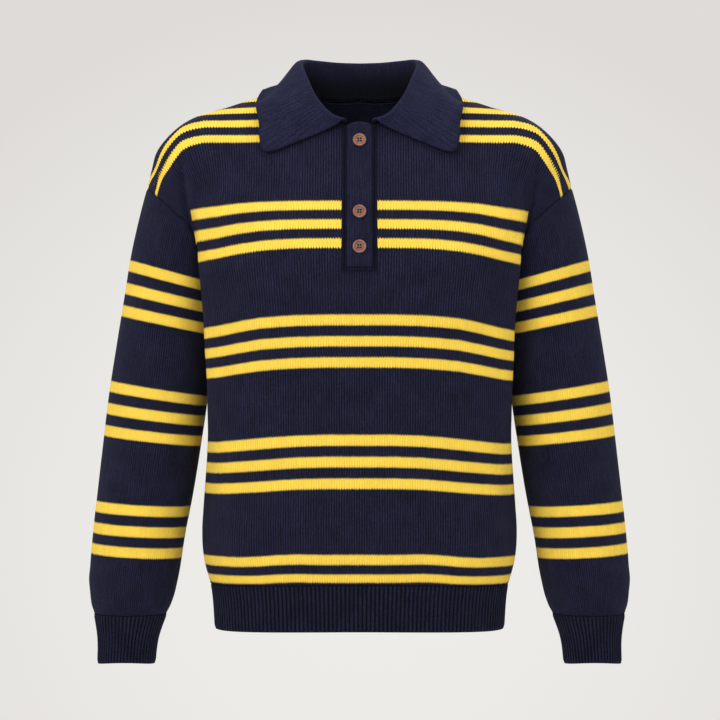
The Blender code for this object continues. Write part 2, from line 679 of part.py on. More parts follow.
def build_button(name, height, surface):
    """Button with a raised rim and four holes, lying on the placket."""
    seat = placket_grid(0.001, height + 0.001, height, 0.0025 + SEAM, 3, 2)[0, 1]
    normal = outward(body, seat)
    normal[0] = 0.0
    normal = normal / np.linalg.norm(normal)
    side = np.array((1.0, 0.0, 0.0))
    up = np.cross(normal, side) * -1
    up = up if up[2] > 0 else -up
    count = 20
    angle = np.arange(count) / count * 2 * np.pi
    profile = (
        (BUTTON_RADIUS * 0.86, 0.0),
        (BUTTON_RADIUS, BUTTON_THICKNESS * 0.35),
        (BUTTON_RADIUS * 0.97, BUTTON_THICKNESS * 0.85),
        (BUTTON_RADIUS * 0.86, BUTTON_THICKNESS),
        (BUTTON_RADIUS * 0.66, BUTTON_THICKNESS * 0.72),
    )
    points = []
    for radius, lift in profile:
        for a in angle:
            points.append(seat + side * radius * np.cos(a) + up * radius * np.sin(a) + normal * lift)
    faces = []
    for i in range(len(profile) - 1):
        for j in range(count):
            k = (j + 1) % count
            faces.append((i * count + j, i * count + k, (i + 1) * count + k, (i + 1) * count + j))
    last = (len(profile) - 1) * count
    faces.append(tuple(reversed(range(count))))
    faces.append(tuple(last + j for j in range(count)))
    thing = put_in(name, points, faces, surface)
    for cx in (-1, 1):
        for cz in (-1, 1):
            hole = 0.0021
            place = seat + side * hole * cx + up * hole * cz
            bpy.ops.mesh.primitive_cylinder_add(vertices=8, radius=0.00095, depth=0.02)
            cutter = bpy.context.active_object
            cutter.name = name + "_cutter"
            turned = np.eye(4)
            turned[:3] = np.column_stack((side, up, normal, place))
            cutter.matrix_world = Matrix(turned.tolist())
            cutter.hide_render = True
            cutter.display_type = "WIRE"
            cut = thing.modifiers.new("hole", "BOOLEAN")
            cut.operation = "DIFFERENCE"
            cut.solver = "EXACT"
            cut.object = cutter
    return thing


def build():
    """The whole sweater, in an emptied scene."""
    for thing in list(bpy.data.objects):
        bpy.data.objects.remove(thing, do_unlink=True)
    knit = material("navy_knit", NAVY, 0.9)
    rib = material("navy_rib", NAVY_DARK, 0.9)
    collar = material("collar_knit", NAVY, 0.9)
    brown = material("button_brown", BUTTON_BROWN, 0.45)
    build_front(knit)
    build_back(knit)
    build_sleeve("sleeve_right", -1, knit)
    build_sleeve("sleeve_left", 1, knit)
    build_cuff("cuff_right", -1, rib)
    build_cuff("cuff_left", 1, rib)
    build_hem(rib)
    build_collar(collar)
    build_placket(collar)
    for name, height in BUTTON_HEIGHTS.items():
        build_button(name, height, brown)


build()
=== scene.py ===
import bpy
import numpy as np
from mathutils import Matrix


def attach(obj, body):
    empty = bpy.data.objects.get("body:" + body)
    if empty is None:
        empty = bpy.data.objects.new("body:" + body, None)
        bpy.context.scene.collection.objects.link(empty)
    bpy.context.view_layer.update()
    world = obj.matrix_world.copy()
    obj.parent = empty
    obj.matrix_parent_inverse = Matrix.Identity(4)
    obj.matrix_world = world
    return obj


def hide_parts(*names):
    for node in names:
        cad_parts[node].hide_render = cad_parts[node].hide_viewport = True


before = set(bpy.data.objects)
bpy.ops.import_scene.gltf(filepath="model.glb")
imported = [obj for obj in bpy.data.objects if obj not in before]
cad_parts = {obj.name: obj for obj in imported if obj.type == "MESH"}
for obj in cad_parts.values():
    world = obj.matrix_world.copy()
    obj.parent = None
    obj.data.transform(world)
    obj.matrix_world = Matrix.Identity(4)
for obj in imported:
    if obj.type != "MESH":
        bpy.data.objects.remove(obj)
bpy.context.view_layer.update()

# ---- Studio -------------------------------------------------------------------------------
# The sweater hangs free in a pale photographer's room: a matt floor well below it, an even
# pale surround, one broad lamp from the upper left, a weaker one from the right and one above.
bpy.context.scene.view_settings.view_transform = "Standard"
bpy.context.scene.view_settings.look = "None"
EYE_HEIGHT = -0.325
EYE_DISTANCE = 3.0

camera = bpy.data.objects.new("camera", bpy.data.cameras.new("camera"))
camera.data.lens = 120.0
camera.data.sensor_width = 36.0
camera.location = (0.0006, -EYE_DISTANCE, EYE_HEIGHT)
camera.rotation_euler = (np.pi / 2, 0.0, 0.0)
bpy.context.collection.objects.link(camera)
bpy.context.scene.camera = camera


def lamp(name, place, aim, size, power, colour):
    """A square lamp of a given size in metres, turned to face a point."""
    light = bpy.data.lights.new(name, "AREA")
    light.size = size
    light.energy = power
    light.color = colour
    thing = bpy.data.objects.new(name, light)
    away = np.array(place, dtype=float) - np.array(aim, dtype=float)
    away = away / np.linalg.norm(away)
    thing.location = place
    thing.rotation_euler = (float(np.arccos(away[2])), 0.0, float(np.arctan2(away[0], -away[1])))
    bpy.context.collection.objects.link(thing)
    return thing


lamp("lamp_left", (-1.5, -2.2, 1.1), (0.0, 0.0, -0.3), 1.3, 34.0, (1.0, 0.985, 0.96))
lamp("lamp_right", (1.9, -2.2, 0.3), (0.0, 0.0, -0.35), 1.6, 11.0, (0.96, 0.98, 1.0))
lamp("lamp_above", (0.0, -0.3, 1.7), (0.0, 0.0, -0.2), 1.4, 14.0, (1.0, 1.0, 1.0))
lamp("lamp_behind", (0.6, 2.2, 0.9), (0.0, 0.0, -0.3), 1.6, 14.0, (1.0, 1.0, 1.0))


def maths(tree, operation, *values):
    """A math node's output; each value is a number or the output of another node."""
    node = tree.nodes.new("ShaderNodeMath")
    node.operation = operation
    for k, value in enumerate(values):
        if isinstance(value, (int, float)):
            node.inputs[k].default_value = value
        else:
            tree.links.new(value, node.inputs[k])
    return node.outputs[0]


GLOW_BELOW = 0.075       # how far below eye height the surround is palest, in sines
GLOW_PALE = (0.850, 0.842, 0.812, 1.0)
GLOW_EDGE = (0.735, 0.715, 0.690, 1.0)
world = bpy.data.worlds.new("room")
world.use_nodes = True
tree = world.node_tree
coordinate = tree.nodes.new("ShaderNodeTexCoord")
split = tree.nodes.new("ShaderNodeSeparateXYZ")
tree.links.new(coordinate.outputs["Generated"], split.inputs[0])
across = maths(tree, "POWER", split.outputs["X"], 2.0)
upward = maths(tree, "POWER", maths(tree, "ADD", split.outputs["Z"], GLOW_BELOW), 2.0)
ramp = tree.nodes.new("ShaderNodeValToRGB")
ramp.color_ramp.elements[0].position = 0.0
ramp.color_ramp.elements[0].color = GLOW_PALE
ramp.color_ramp.elements[1].position = 0.05
ramp.color_ramp.elements[1].color = GLOW_EDGE
tree.links.new(maths(tree, "ADD", across, upward), ramp.inputs[0])
tree.links.new(ramp.outputs["Color"], tree.nodes["Background"].inputs["Color"])
tree.nodes["Background"].inputs["Strength"].default_value = 1.0
bpy.context.scene.world = world

FLOOR_HEIGHT = -1.15
FLOOR_RADIUS = 1.9
floor_mesh = bpy.data.meshes.new("floor")
turn = np.linspace(0.0, 2.0 * np.pi, 97)[:-1]
floor_rim = np.stack((FLOOR_RADIUS * np.cos(turn), FLOOR_RADIUS * np.sin(turn),
                      np.full(96, FLOOR_HEIGHT)), axis=1)
floor_mesh.from_pydata(floor_rim.tolist(), [], [list(range(96))])
floor = bpy.data.objects.new("floor", floor_mesh)
bpy.context.collection.objects.link(floor)
pale = bpy.data.materials.new("pale_floor")
pale.use_nodes = True
paint = pale.node_tree.nodes["Principled BSDF"]
paint.inputs["Base Color"].default_value = (0.78, 0.775, 0.76, 1.0)
paint.inputs["Roughness"].default_value = 0.95
floor_mesh.materials.append(pale)

# ---- Front panel --------------------------------------------------------------------------
# One piece of cotton jersey knitted in navy with yellow stripes, slit at the neck for the
# placket.  It is sewn to the back along the shoulders and sides and to the sleeves at the
# dropped armholes, and it blouses over the hem rib.
WALL = 0.0022            # thickness of the knitted cloth
SEAM = 0.0003            # space left between pieces that are sewn together
SEAM_Y = 0.018           # the side seam's place from front to back
RIDGE_Y = 0.012          # the shoulders' highest line from front to back
NECK_HALF_WIDTH = 0.083
NECK_FRONT_DEPTH = 0.0696
NECK_BACK_DEPTH = 0.033
NECK_Y = 0.018
HEM_TOP = -0.596
SLOT_HALF_WIDTH = 0.0160
SLOT_BOTTOM = -0.2130
PLACKET_HALF_WIDTH = 0.0175
PLACKET_TRIM = 0.0012    # what the band that shows loses at each side by its rounded edge
PLACKET_BOTTOM = -0.2175
ARMHOLE_TOP = (0.2660, -0.1100)
ARMHOLE_UNDER = (0.1720, -0.1930)
# The armhole's front runs lower near the underarm, under the fold: degrees from its top, metres.
TUCK_TURNS = (98, 110, 122, 134, 148, 164, 180)
TUCK_LOWER = (0.0, 0.0050, 0.0150, 0.0200, 0.0170, 0.0070, 0.0)
PANEL_HALF_WIDTH = 0.272

TORSO_COLUMNS = ("height", "half_width", "front", "back", "side_hollow", "corner")
TORSO = (
    (-0.660, 0.1800, 0.110, 0.108, 0.000, 0.000),
    (-0.596, 0.1860, 0.114, 0.111, 0.000, 0.000),
    (-0.560, 0.1955, 0.121, 0.117, 0.000, 0.000),
    (-0.515, 0.1948, 0.122, 0.116, 0.000, 0.000),
    (-0.455, 0.1920, 0.122, 0.112, 0.002, 0.001),
    (-0.380, 0.1915, 0.122, 0.108, 0.008, 0.006),
    (-0.310, 0.1910, 0.123, 0.108, 0.014, 0.010),
    (-0.240, 0.1980, 0.125, 0.112, 0.026, 0.0135),
    (-0.190, 0.2020, 0.125, 0.116, 0.037, 0.018),
    (-0.130, 0.2090, 0.123, 0.118, 0.030, 0.012),
    (-0.062, 0.2170, 0.118, 0.116, 0.004, 0.000),
    (0.030, 0.2220, 0.112, 0.110, 0.000, 0.000),
)
ARM_COLUMNS = ("height", "outer", "inner", "centre_y", "half_depth")
ARM = (
    (-0.705, 0.3270, 0.2550, -0.008, 0.0360),
    (-0.668, 0.3272, 0.2500, -0.005, 0.0375),
    (-0.641, 0.3320, 0.2400, -0.002, 0.0430),
    (-0.628, 0.3350, 0.2350, 0.000, 0.0475),
    (-0.600, 0.3370, 0.2275, 0.003, 0.0520),
    (-0.548, 0.3345, 0.2192, 0.009, 0.0560),
    (-0.488, 0.3285, 0.2082, 0.015, 0.0590),
    (-0.428, 0.3220, 0.1988, 0.019, 0.0610),
    (-0.368, 0.3150, 0.1905, 0.021, 0.0630),
    (-0.308, 0.3057, 0.1866, 0.021, 0.0650),
    (-0.248, 0.2958, 0.1796, 0.020, 0.0660),
    (-0.190, 0.2862, 0.1700, 0.018, 0.0660),
    (-0.142, 0.2750, 0.1516, 0.014, 0.0660),
    (-0.093, 0.2615, 0.1360, 0.012, 0.0660),
)
ARM_TOP = -0.093
ARM_CAP = 0.064
RIDGE_COLUMNS = ("distance", "height")
RIDGE = (
    (0.000, 0.0360),
    (0.050, 0.0280),
    (0.083, 0.0195),
    (0.133, 0.0050),
    (0.164, -0.0054),
    (0.196, -0.0190),
    (0.230, -0.0370),
    (0.280, -0.0650),
)


def read(rows, columns, name, at):
    """A cubic curve through one column of a table, read at values of the first column."""
    table = np.array(rows, dtype=float)
    xs = table[:, 0]
    ys = table[:, columns.index(name)]
    slopes = np.gradient(ys, xs)
    at = np.clip(at, xs[0], xs[-1])
    left = np.clip(np.searchsorted(xs, at, side="right") - 1, 0, len(xs) - 2)
    step = xs[left + 1] - xs[left]
    t = (at - xs[left]) / step
    value = (2 * t ** 3 - 3 * t ** 2 + 1) * ys[left] + (t ** 3 - 2 * t ** 2 + t) * step * slopes[left]
    return value + (3 * t ** 2 - 2 * t ** 3) * ys[left + 1] + (t ** 3 - t ** 2) * step * slopes[left + 1]


def blend_min(a, b, width):
    """The smaller of two distances, less a rounding that is widest where they are equal."""
    h = np.maximum(width - np.abs(a - b), 0.0) / width
    return np.minimum(a, b) - h * h * width / 4


def torso(p):
    """Distance outside the torso: a rounded section cut by the shoulder roof.

    The section is (wide / half width) ** 2.5 + (y / depth) ** 2.5 = 1, with a hollow at the side,
    and the roof falls by 0.094 mm times the 1.6th power of the millimetres from its ridge.
    """
    x, y, z = np.abs(p[..., 0]), p[..., 1], p[..., 2]
    half_width = read(TORSO, TORSO_COLUMNS, "half_width", z)
    front = read(TORSO, TORSO_COLUMNS, "front", z)
    back = read(TORSO, TORSO_COLUMNS, "back", z)
    hollow = np.maximum(read(TORSO, TORSO_COLUMNS, "side_hollow", z), 0.0)
    depth = np.where(y < 0, front, back)
    corner = read(TORSO, TORSO_COLUMNS, "corner", z)
    wide = x + hollow * np.exp(-((y - SEAM_Y) / 0.060) ** 2)
    wide = np.maximum(wide - corner * np.exp(-((y + 0.055) / 0.032) ** 2), 0.0)
    size = np.maximum(((wide / half_width) ** 2.5 + (np.abs(y) / depth) ** 2.5) ** 0.4, 0.05)
    side = np.hypot(wide, y) * (1 - 1 / size)
    away = np.abs(y - RIDGE_Y) * 1000
    roof = read(RIDGE, RIDGE_COLUMNS, "height", x) - 0.094 * away ** 1.6 / 1000
    return -blend_min(-side, -(z - roof) * 0.7, 0.03)


def arm(p):
    """Distance outside the arm: an oval section, closed by a rounded top."""
    x, y, z = np.abs(p[..., 0]), p[..., 1], p[..., 2]
    low = np.minimum(z, ARM_TOP)
    outer = read(ARM, ARM_COLUMNS, "outer", low)
    inner = read(ARM, ARM_COLUMNS, "inner", low)
    dx = x - (outer + inner) / 2
    dy = y - read(ARM, ARM_COLUMNS, "centre_y", low)
    dz = np.maximum(z - ARM_TOP, 0)
    half_depth = read(ARM, ARM_COLUMNS, "half_depth", low)
    size = np.sqrt((2 * dx / (outer - inner)) ** 2 + (dy / half_depth) ** 2 + (dz / ARM_CAP) ** 2)
    return np.sqrt(dx ** 2 + dy ** 2 + dz ** 2) * (1 - 1 / np.maximum(size, 0.05))


def body(p):
    """Torso and arm as one form, the fold between them sharp low down and soft on the shoulder."""
    width = np.interp(p[..., 2], (-0.19, -0.13, -0.06, 0.0), (0.004, 0.010, 0.030, 0.030))
    return blend_min(torso(p), arm(p), width)


def outward(form, p):
    """The form's unit normal, from differences 0.4 mm apart."""
    step = np.eye(3) * 0.0002
    normal = np.stack([form(p + step[k]) - form(p - step[k]) for k in range(3)], axis=-1)
    return normal / np.maximum(np.linalg.norm(normal, axis=-1, keepdims=True), 1e-12)


def onto(form, p, rounds):
    """Points moved along the normal until the form's distance is nothing."""
    for _ in range(rounds):
        normal = outward(form, p)
        here = form(p)
        slope = np.maximum((form(p + normal * 0.0005) - here) / 0.0005, 0.35)
        p = p - normal * np.clip(here / slope, -0.02, 0.02)[..., None]
    return p


def cast(form, start, direction, near, far):
    """Where rays from inside the form leave it, found by halving."""
    low = np.full(start.shape[:-1], near, dtype=float)
    high = np.full(start.shape[:-1], far, dtype=float)
    for _ in range(30):
        middle = (low + high) / 2
        inside = form(start + direction * middle[..., None]) < 0
        low = np.where(inside, middle, low)
        high = np.where(inside, high, middle)
    return start + direction * low[..., None]


def spaced(curve, shares):
    """Points on a row of points, at given shares of its length."""
    length = np.concatenate(([0.0], np.cumsum(np.linalg.norm(np.diff(curve, axis=0), axis=1))))
    at = np.asarray(shares) * length[-1]
    return np.stack([np.interp(at, length, curve[:, k]) for k in range(3)], axis=1)


def armhole(turn, shift=0.0):
    """Armhole seam on the arm, in a sloping plane: 0 is its top, pi its lowest point.

    The plane is moved outwards by shift, and in front also by the tuck at that turn.
    """
    top = np.array((ARMHOLE_TOP[0], 0.0, ARMHOLE_TOP[1]))
    under = np.array((ARMHOLE_UNDER[0], 0.0, ARMHOLE_UNDER[1]))
    along = (top - under) / np.linalg.norm(top - under)
    turn = np.asarray(turn, dtype=float)
    degrees = np.degrees(np.arccos(np.clip(np.cos(turn), -1, 1)))
    tuck = np.interp(np.where(np.sin(turn) < 0, degrees, 0.0), TUCK_TURNS, TUCK_LOWER)
    away = np.array((along[2], 0.0, -along[0])) * (shift + tuck)[..., None]
    start = np.broadcast_to((top + under) / 2 + away, turn.shape + (3,)).copy()
    start[..., 1] = 0.0125 + (SEAM_Y - 0.0125) * (1 - np.cos(turn)) / 2
    direction = np.cos(turn)[..., None] * along + np.sin(turn)[..., None] * np.array((0.0, 1.0, 0.0))
    return cast(arm, start, direction, 0.01, 0.14)


def neckline(turn):
    """Neck seam, an oval seen from above and set up on the shoulders: 0 is the front, pi the back."""
    turn = np.asarray(turn, dtype=float)
    depth = np.where(np.cos(turn) > 0, NECK_FRONT_DEPTH, NECK_BACK_DEPTH)
    start = np.stack((NECK_HALF_WIDTH * np.sin(turn), NECK_Y - depth * np.cos(turn),
                      np.full(turn.shape, -0.16)), axis=-1)
    return cast(body, start, np.array((0.0, 0.0, 1.0)), 0.0, 0.30)


def shoulder(count, shift):
    """Shoulder seam from the neck to the top of the armhole, in an upright plane."""
    end = armhole(np.array(0.0))
    first = neckline(np.array(np.pi / 2))
    middle = np.array((0.19, 0.0, -0.11))
    angle = np.linspace(np.arctan2(first[2] - middle[2], first[0] - middle[0]),
                        np.arctan2(end[2] - middle[2], end[0] - middle[0]), count)
    direction = np.stack((np.cos(angle), np.zeros(count), np.sin(angle)), axis=1)
    points = np.tile(middle, (count, 1))
    for _ in range(3):
        start = np.tile(middle, (count, 1))
        part = (points[:, 0] - first[0]) / (end[0] - first[0])
        start[:, 1] = first[1] + (end[1] - first[1]) * part + shift
        points = cast(body, start, direction, 0.01, 0.30)
    return points


def half_section(z, side, first_x, shares):
    """Half of the torso's outline at one height, from first_x to the side seam, evenly spaced."""
    angle = np.linspace(0.0, np.pi / 2, 120)
    start = np.stack((np.zeros(120), np.full(120, SEAM_Y + side * SEAM / 2), np.full(120, z)), axis=1)
    direction = np.stack((np.sin(angle), side * np.cos(angle), np.zeros(120)), axis=1)
    curve = cast(torso, start, direction, 0.01, 0.40)
    y = np.interp(first_x, curve[:, 0], curve[:, 1])
    return spaced(np.vstack(((first_x, y, z), curve[curve[:, 0] > first_x + 1e-9])), shares)


def half_panel(side, first_x, count, low_heights, upper_rows):
    """Half of the front or back: rows go up, columns are wales going outwards.

    Below the armhole a row is the torso's outline.  Above it the grid is stretched between the
    middle, the armhole and the neck with the shoulder, then each point is moved again and again
    to the mean of its neighbours and back on to the form, as cloth settles.
    """
    shares = np.linspace(0.0, 1.0, count)
    low = np.stack([half_section(z, side, first_x, shares) for z in low_heights])
    edge = armhole(np.linspace(np.pi, 0.0, upper_rows + 1)[1:] * side)
    bottom = low[-1]
    near = bottom[:, 0] < NECK_HALF_WIDTH - 0.004
    turn = np.arcsin(bottom[near, 0] / NECK_HALF_WIDTH)
    neck = neckline(turn if side < 0 else np.pi - turn)
    rest = count - int(near.sum())
    line = shoulder(40, side * SEAM / 2)
    top = np.vstack((neck, spaced(line, np.linspace(0.0, 1.0, rest))))
    edge[-1] = top[-1]
    middle = np.linspace(bottom[0], top[0], upper_rows + 1)[1:]
    v = (np.arange(1, upper_rows + 1) / upper_rows)[:, None, None]
    u = shares[None, :, None]
    grid = (1 - v) * bottom + v * top + (1 - u) * middle[:, None] + u * edge[:, None]
    grid = grid - (1 - u) * (1 - v) * bottom[0] - u * (1 - v) * bottom[-1]
    grid = grid - (1 - u) * v * top[0] - u * v * top[-1]
    grid = grid + np.array((0.0, side * 0.05, 0.0)) * 4 * v * (1 - v)
    grid = onto(body, grid, 8)
    grid[:, -1] = edge
    grid[-1] = top
    for _ in range(160):
        full = np.concatenate((low[-1:], grid), axis=0)
        inner = full[1:-1, 1:-1]
        mean = (full[:-2, 1:-1] + full[2:, 1:-1] + full[1:-1, :-2] + full[1:-1, 2:]) / 4
        grid[:-1, 1:-1] = onto(body, inner + 0.9 * (mean - inner), 1)
        line = full[1:-1, 0] + 0.5 * ((full[:-2, 0] + full[2:, 0]) / 2 - full[1:-1, 0])
        line = onto(body, line, 1)
        line[:, 0] = first_x
        grid[:-1, 0] = line
    return np.concatenate((low, grid), axis=0)


def finer(grid, factor):
    """The same grid with each cell cut into factor by factor, on cubic curves through its points."""
    def weights(count):
        """What each old point gives to each new one: a row of cubic weights, straight at the ends."""
        at = np.linspace(0, count - 1, (count - 1) * factor + 1)
        left = np.clip(at.astype(int), 0, count - 2)
        t = at - left
        table = np.zeros((len(at), count))
        row = np.arange(len(at))
        for shift, w in ((-1, -t ** 3 + 2 * t ** 2 - t), (0, 3 * t ** 3 - 5 * t ** 2 + 2),
                         (1, -3 * t ** 3 + 4 * t ** 2 + t), (2, t ** 3 - t ** 2)):
            place = left + shift
            inside = (place >= 0) & (place < count)
            np.add.at(table, (row[inside], place[inside]), w[inside] / 2)
            low = place < 0
            np.add.at(table, (row[low], 0), w[low])
            np.add.at(table, (row[low], 1), -w[low] / 2)
            high = place >= count
            np.add.at(table, (row[high], count - 1), w[high])
            np.add.at(table, (row[high], count - 2), -w[high] / 2)
        return table
    return np.einsum("ia,abk,jb->ijk", weights(grid.shape[0]), grid, weights(grid.shape[1]))


# Heights on the shoulder and the rows of the flat panel that lie there.
SHOULDER_HEIGHTS = (-0.70, -0.0567, -0.0467, -0.0365, -0.0262, -0.0188, -0.0120, -0.0035, 0.004, 0.03)
SHOULDER_ROWS = (-0.70, -0.0567, -0.0452, -0.0332, -0.0217, -0.0097, 0.0018, 0.0138, 0.0258, 0.072)
# How far the rows sag: each line is a height, then the sag at the third to the last but one
# of SAG_PLACES.  It is 0 at the first two, and a tenth more at the last.
SAG_PLACES = (0.0, 0.040, 0.075, 0.097, 0.120, 0.146, 0.172, 0.200, 0.240)
SAG = (
    (-0.590, -0.0003, 0.0008, 0.0030, 0.0043, 0.0055, 0.0070),
    (-0.565, 0.0000, 0.0016, 0.0039, 0.0053, 0.0063, 0.0080),
    (-0.450, 0.0013, 0.0031, 0.0054, 0.0080, 0.0108, 0.0120),
    (-0.300, 0.0009, 0.0023, 0.0042, 0.0089, 0.0144, 0.0190),
    (-0.184, 0.0002, 0.0013, 0.0033, 0.0070, 0.0122, 0.0165),
    (-0.138, 0.0000, 0.0003, 0.0012, 0.0030, 0.0062, 0.0085),
    (-0.100, 0.0000, 0.0000, 0.0003, 0.0008, 0.0015, 0.0020),
    (-0.050, 0.0000, 0.0000, 0.0000, 0.0000, 0.0000, 0.0000),
)
BEND_COLUMNS = ("out", "drop")
BEND = (
    (0.1900, 0.0002),
    (0.1980, 0.0012),
    (0.2090, 0.0040),
    (0.2154, 0.0066),
    (0.2216, 0.0105),
    (0.2278, 0.0178),
    (0.2340, 0.0264),
    (0.2403, 0.0360),
    (0.2470, 0.0492),
    (0.2532, 0.0662),
    (0.2650, 0.0920),
)
FOLD_DEPTH = 0.0055
FOLD_COLUMNS = ("height", "out")
FOLD = (
    (-0.200, 0.1990),
    (-0.160, 0.2046),
    (-0.125, 0.2104),
    (-0.100, 0.2140),
    (-0.065, 0.2185),
)


def ramp_up(value, start, end):
    """0 before start, 1 after end, with soft ends."""
    t = np.clip((value - start) / (end - start), 0, 1)
    return t * t * (3 - 2 * t)


def course(p):
    """Height of the knitted row through a point, as it lies in the flat panel.

    It is the point's own height, unrolled over the shoulder, plus what the rows have sagged
    towards the sides, a little more on the wearer's left, plus their steep bend where the panel
    drops over the upper arm.  The bend counts a quarter more below the lowest shoulder stripe.
    """
    x, z = np.abs(p[..., 0]), p[..., 2]
    flat = np.interp(z, SHOULDER_HEIGHTS, SHOULDER_ROWS)
    places = np.array(SAG_PLACES)
    levels = np.array([row[0] for row in SAG])
    drops = np.array([(0.0, 0.0) + row[1:] + (row[-1] * 1.1,) for row in SAG])
    at_z = np.interp(z, levels, np.arange(len(levels)))
    low = np.clip(at_z.astype(int), 0, len(levels) - 2)
    part = at_z - low
    at_x = np.interp(x, places, np.arange(len(places)))
    left = np.clip(at_x.astype(int), 0, len(places) - 2)
    t = at_x - left
    tilt = 1 + 0.09 * np.tanh(p[..., 0] / 0.05)
    lower = drops[low, left] * (1 - t) + drops[low, left + 1] * t
    upper = drops[low + 1, left] * (1 - t) + drops[low + 1, left + 1] * t
    sag = (lower * (1 - part) + upper * part) * tilt
    bend = read(BEND, BEND_COLUMNS, "drop", x) * ramp_up(x, 0.188, 0.198) * ramp_up(z, -0.147, -0.125)
    bend = bend * np.where(p[..., 0] < 0, 0.91, 1.0) * (1 - 0.11 * ramp_up(-z, 0.082, 0.104))
    v = flat + sag + bend
    return v + 0.25 * bend * np.clip((-0.0455 - v) / 0.011, 0, 1)


def fold_rise(p):
    """The deep crease where the panel stands proud of the sleeve's cap: a crest beside a dip."""
    x, z = np.abs(p[..., 0]), p[..., 2]
    past = x - read(FOLD, FOLD_COLUMNS, "out", z)
    strength = ramp_up(-z, 0.060, 0.100) * ramp_up(z, -0.215, -0.180)
    dip = np.exp(-((past - 0.0045) / 0.0048) ** 2)
    crest = np.exp(-((past + 0.0060) / 0.0060) ** 2)
    return strength * FOLD_DEPTH * (0.25 * crest - dip)


def side_dip(p):
    """How much lower the hem's seam hangs at the body's sides than in front, fading out upwards."""
    return 0.0052 * (p[..., 0] / 0.18) ** 2 * ramp_up(-p[..., 2], 0.552, 0.596)


def creased(u, v, rows):
    """Height of soft troughs and ridges over flat cloth at (u, v).

    Each row of the table is one crease: where its middle is, how it turns, its length, width and
    depth.  Its height falls off as a bell curve both along and across it.
    """
    total = np.zeros(np.broadcast(u, v).shape)
    for at_u, at_v, degrees, length, width, depth in rows:
        a = np.radians(degrees)
        along = (u - at_u) * np.cos(a) + (v - at_v) * np.sin(a)
        across = -(u - at_u) * np.sin(a) + (v - at_v) * np.cos(a)
        total = total + depth * np.exp(-(along / length) ** 2 - (across / width) ** 2)
    return total


def inside_fade(shape, rows, columns):
    """1 inside a grid, falling to 0 at its edges over so many rows and columns."""
    up, out = np.arange(shape[0]), np.arange(shape[1])
    by_row = np.clip(np.minimum(up, shape[0] - 1 - up) / rows, 0, 1)
    by_column = np.clip(np.minimum(out, shape[1] - 1 - out) / columns, 0, 1)
    return by_row[:, None] * by_column


def from_edges(points, edges):
    """Distance in metres from the named edges of a grid, measured along its rows and columns."""
    across = np.linalg.norm(np.diff(points, axis=1), axis=2)
    up = np.linalg.norm(np.diff(points, axis=0), axis=2)
    distance = np.full(points.shape[:2], 1.0)
    run = np.pad(np.cumsum(across, axis=1), ((0, 0), (1, 0)))
    rise = np.pad(np.cumsum(up, axis=0), ((1, 0), (0, 0)))
    options = {"left": run, "right": run[:, -1:] - run, "bottom": rise, "top": rise[-1:] - rise}
    for edge in edges:
        distance = np.minimum(distance, options[edge])
    return distance


def dressed(points, u, v, creases, part=1.0):
    """A panel's points with its creases, drawn-in seams and dipping hem, its rows and its seams.

    The height over the form is part of the creases plus the deep fold, both fading out at the
    edges, less a bell curve 2.2 mm wide along each seam.
    """
    fade = inside_fade(points.shape, 8.0, 6.0)
    rise = (creased(u, v, creases) * part + fold_rise(points)) * fade
    seam = from_edges(points, ("left", "right", "top"))
    rise = rise - 0.0011 * np.exp(-(seam / 0.0022) ** 2)
    points = points + outward(body, points) * rise[..., None]
    dip = side_dip(points)
    points[..., 2] -= dip
    return points, v - dip, seam


def cloth(name, points, uv, keep, seam=None, shade=None):
    """A grid of points as a mesh; keep says which cells exist.

    The first UV map is the place in the fabric in metres, the second the distance from the
    nearest seam and how much light the place gets.
    """
    columns = points.shape[1]
    i, j = np.nonzero(keep)
    here = i * columns + j
    beside = i * columns + (j + 1) % columns
    faces = np.stack((here, beside, beside + columns, here + columns), axis=1)
    used, number = np.unique(faces, return_inverse=True)
    number = number.reshape(faces.shape)
    mesh = bpy.data.meshes.new(name)
    mesh.from_pydata(points.reshape(-1, 3)[used].tolist(), [], number.tolist())
    seam = np.full(uv.shape[:2], 1.0) if seam is None else seam
    shade = np.ones(uv.shape[:2]) if shade is None else shade
    for layer_name, grid in (("fabric", uv), ("making", np.stack((seam, shade), axis=-1))):
        at = np.stack((grid[i, j], grid[i, j + 1], grid[i + 1, j + 1], grid[i + 1, j]), axis=1)
        layer = mesh.uv_layers.new(name=layer_name)
        layer.data.foreach_set("uv", at.reshape(-1, 2).astype(np.float32).ravel())
    mesh.shade_smooth()
    thing = bpy.data.objects.new(name, mesh)
    bpy.context.collection.objects.link(thing)
    return thing


def turned_out(thing, inner):
    """Faces turned, if need be, so that most of them look away from the given point."""
    mesh = thing.data
    count = len(mesh.polygons)
    normal = np.empty(count * 3, dtype=np.float32)
    centre = np.empty(count * 3, dtype=np.float32)
    mesh.polygons.foreach_get("normal", normal)
    mesh.polygons.foreach_get("center", centre)
    away = centre.reshape(-1, 3) - inner
    if np.sum(normal.reshape(-1, 3) * away) < 0:
        mesh.flip_normals()


def thick(thing, amount):
    """Gives the cloth its thickness, inwards from the face that shows."""
    solid = thing.modifiers.new("thickness", "SOLIDIFY")
    solid.thickness = amount
    solid.offset = -1.0
    solid.use_even_offset = False


WALE = 0.0030            # one column of stitches
COURSE = 0.0023          # one row of stitches
GROOVE = 0.0015          # half width of the painted shade in the groove along a seam
FOLD_OUT = 0.2304        # the fold beside the armhole hides the chest stripes past this
FOLD_SLOPE = 0.16        # and what that gains with height
SHOULDER_STRIPES_END = -0.1
CHEST_STRIPES_END = -0.2
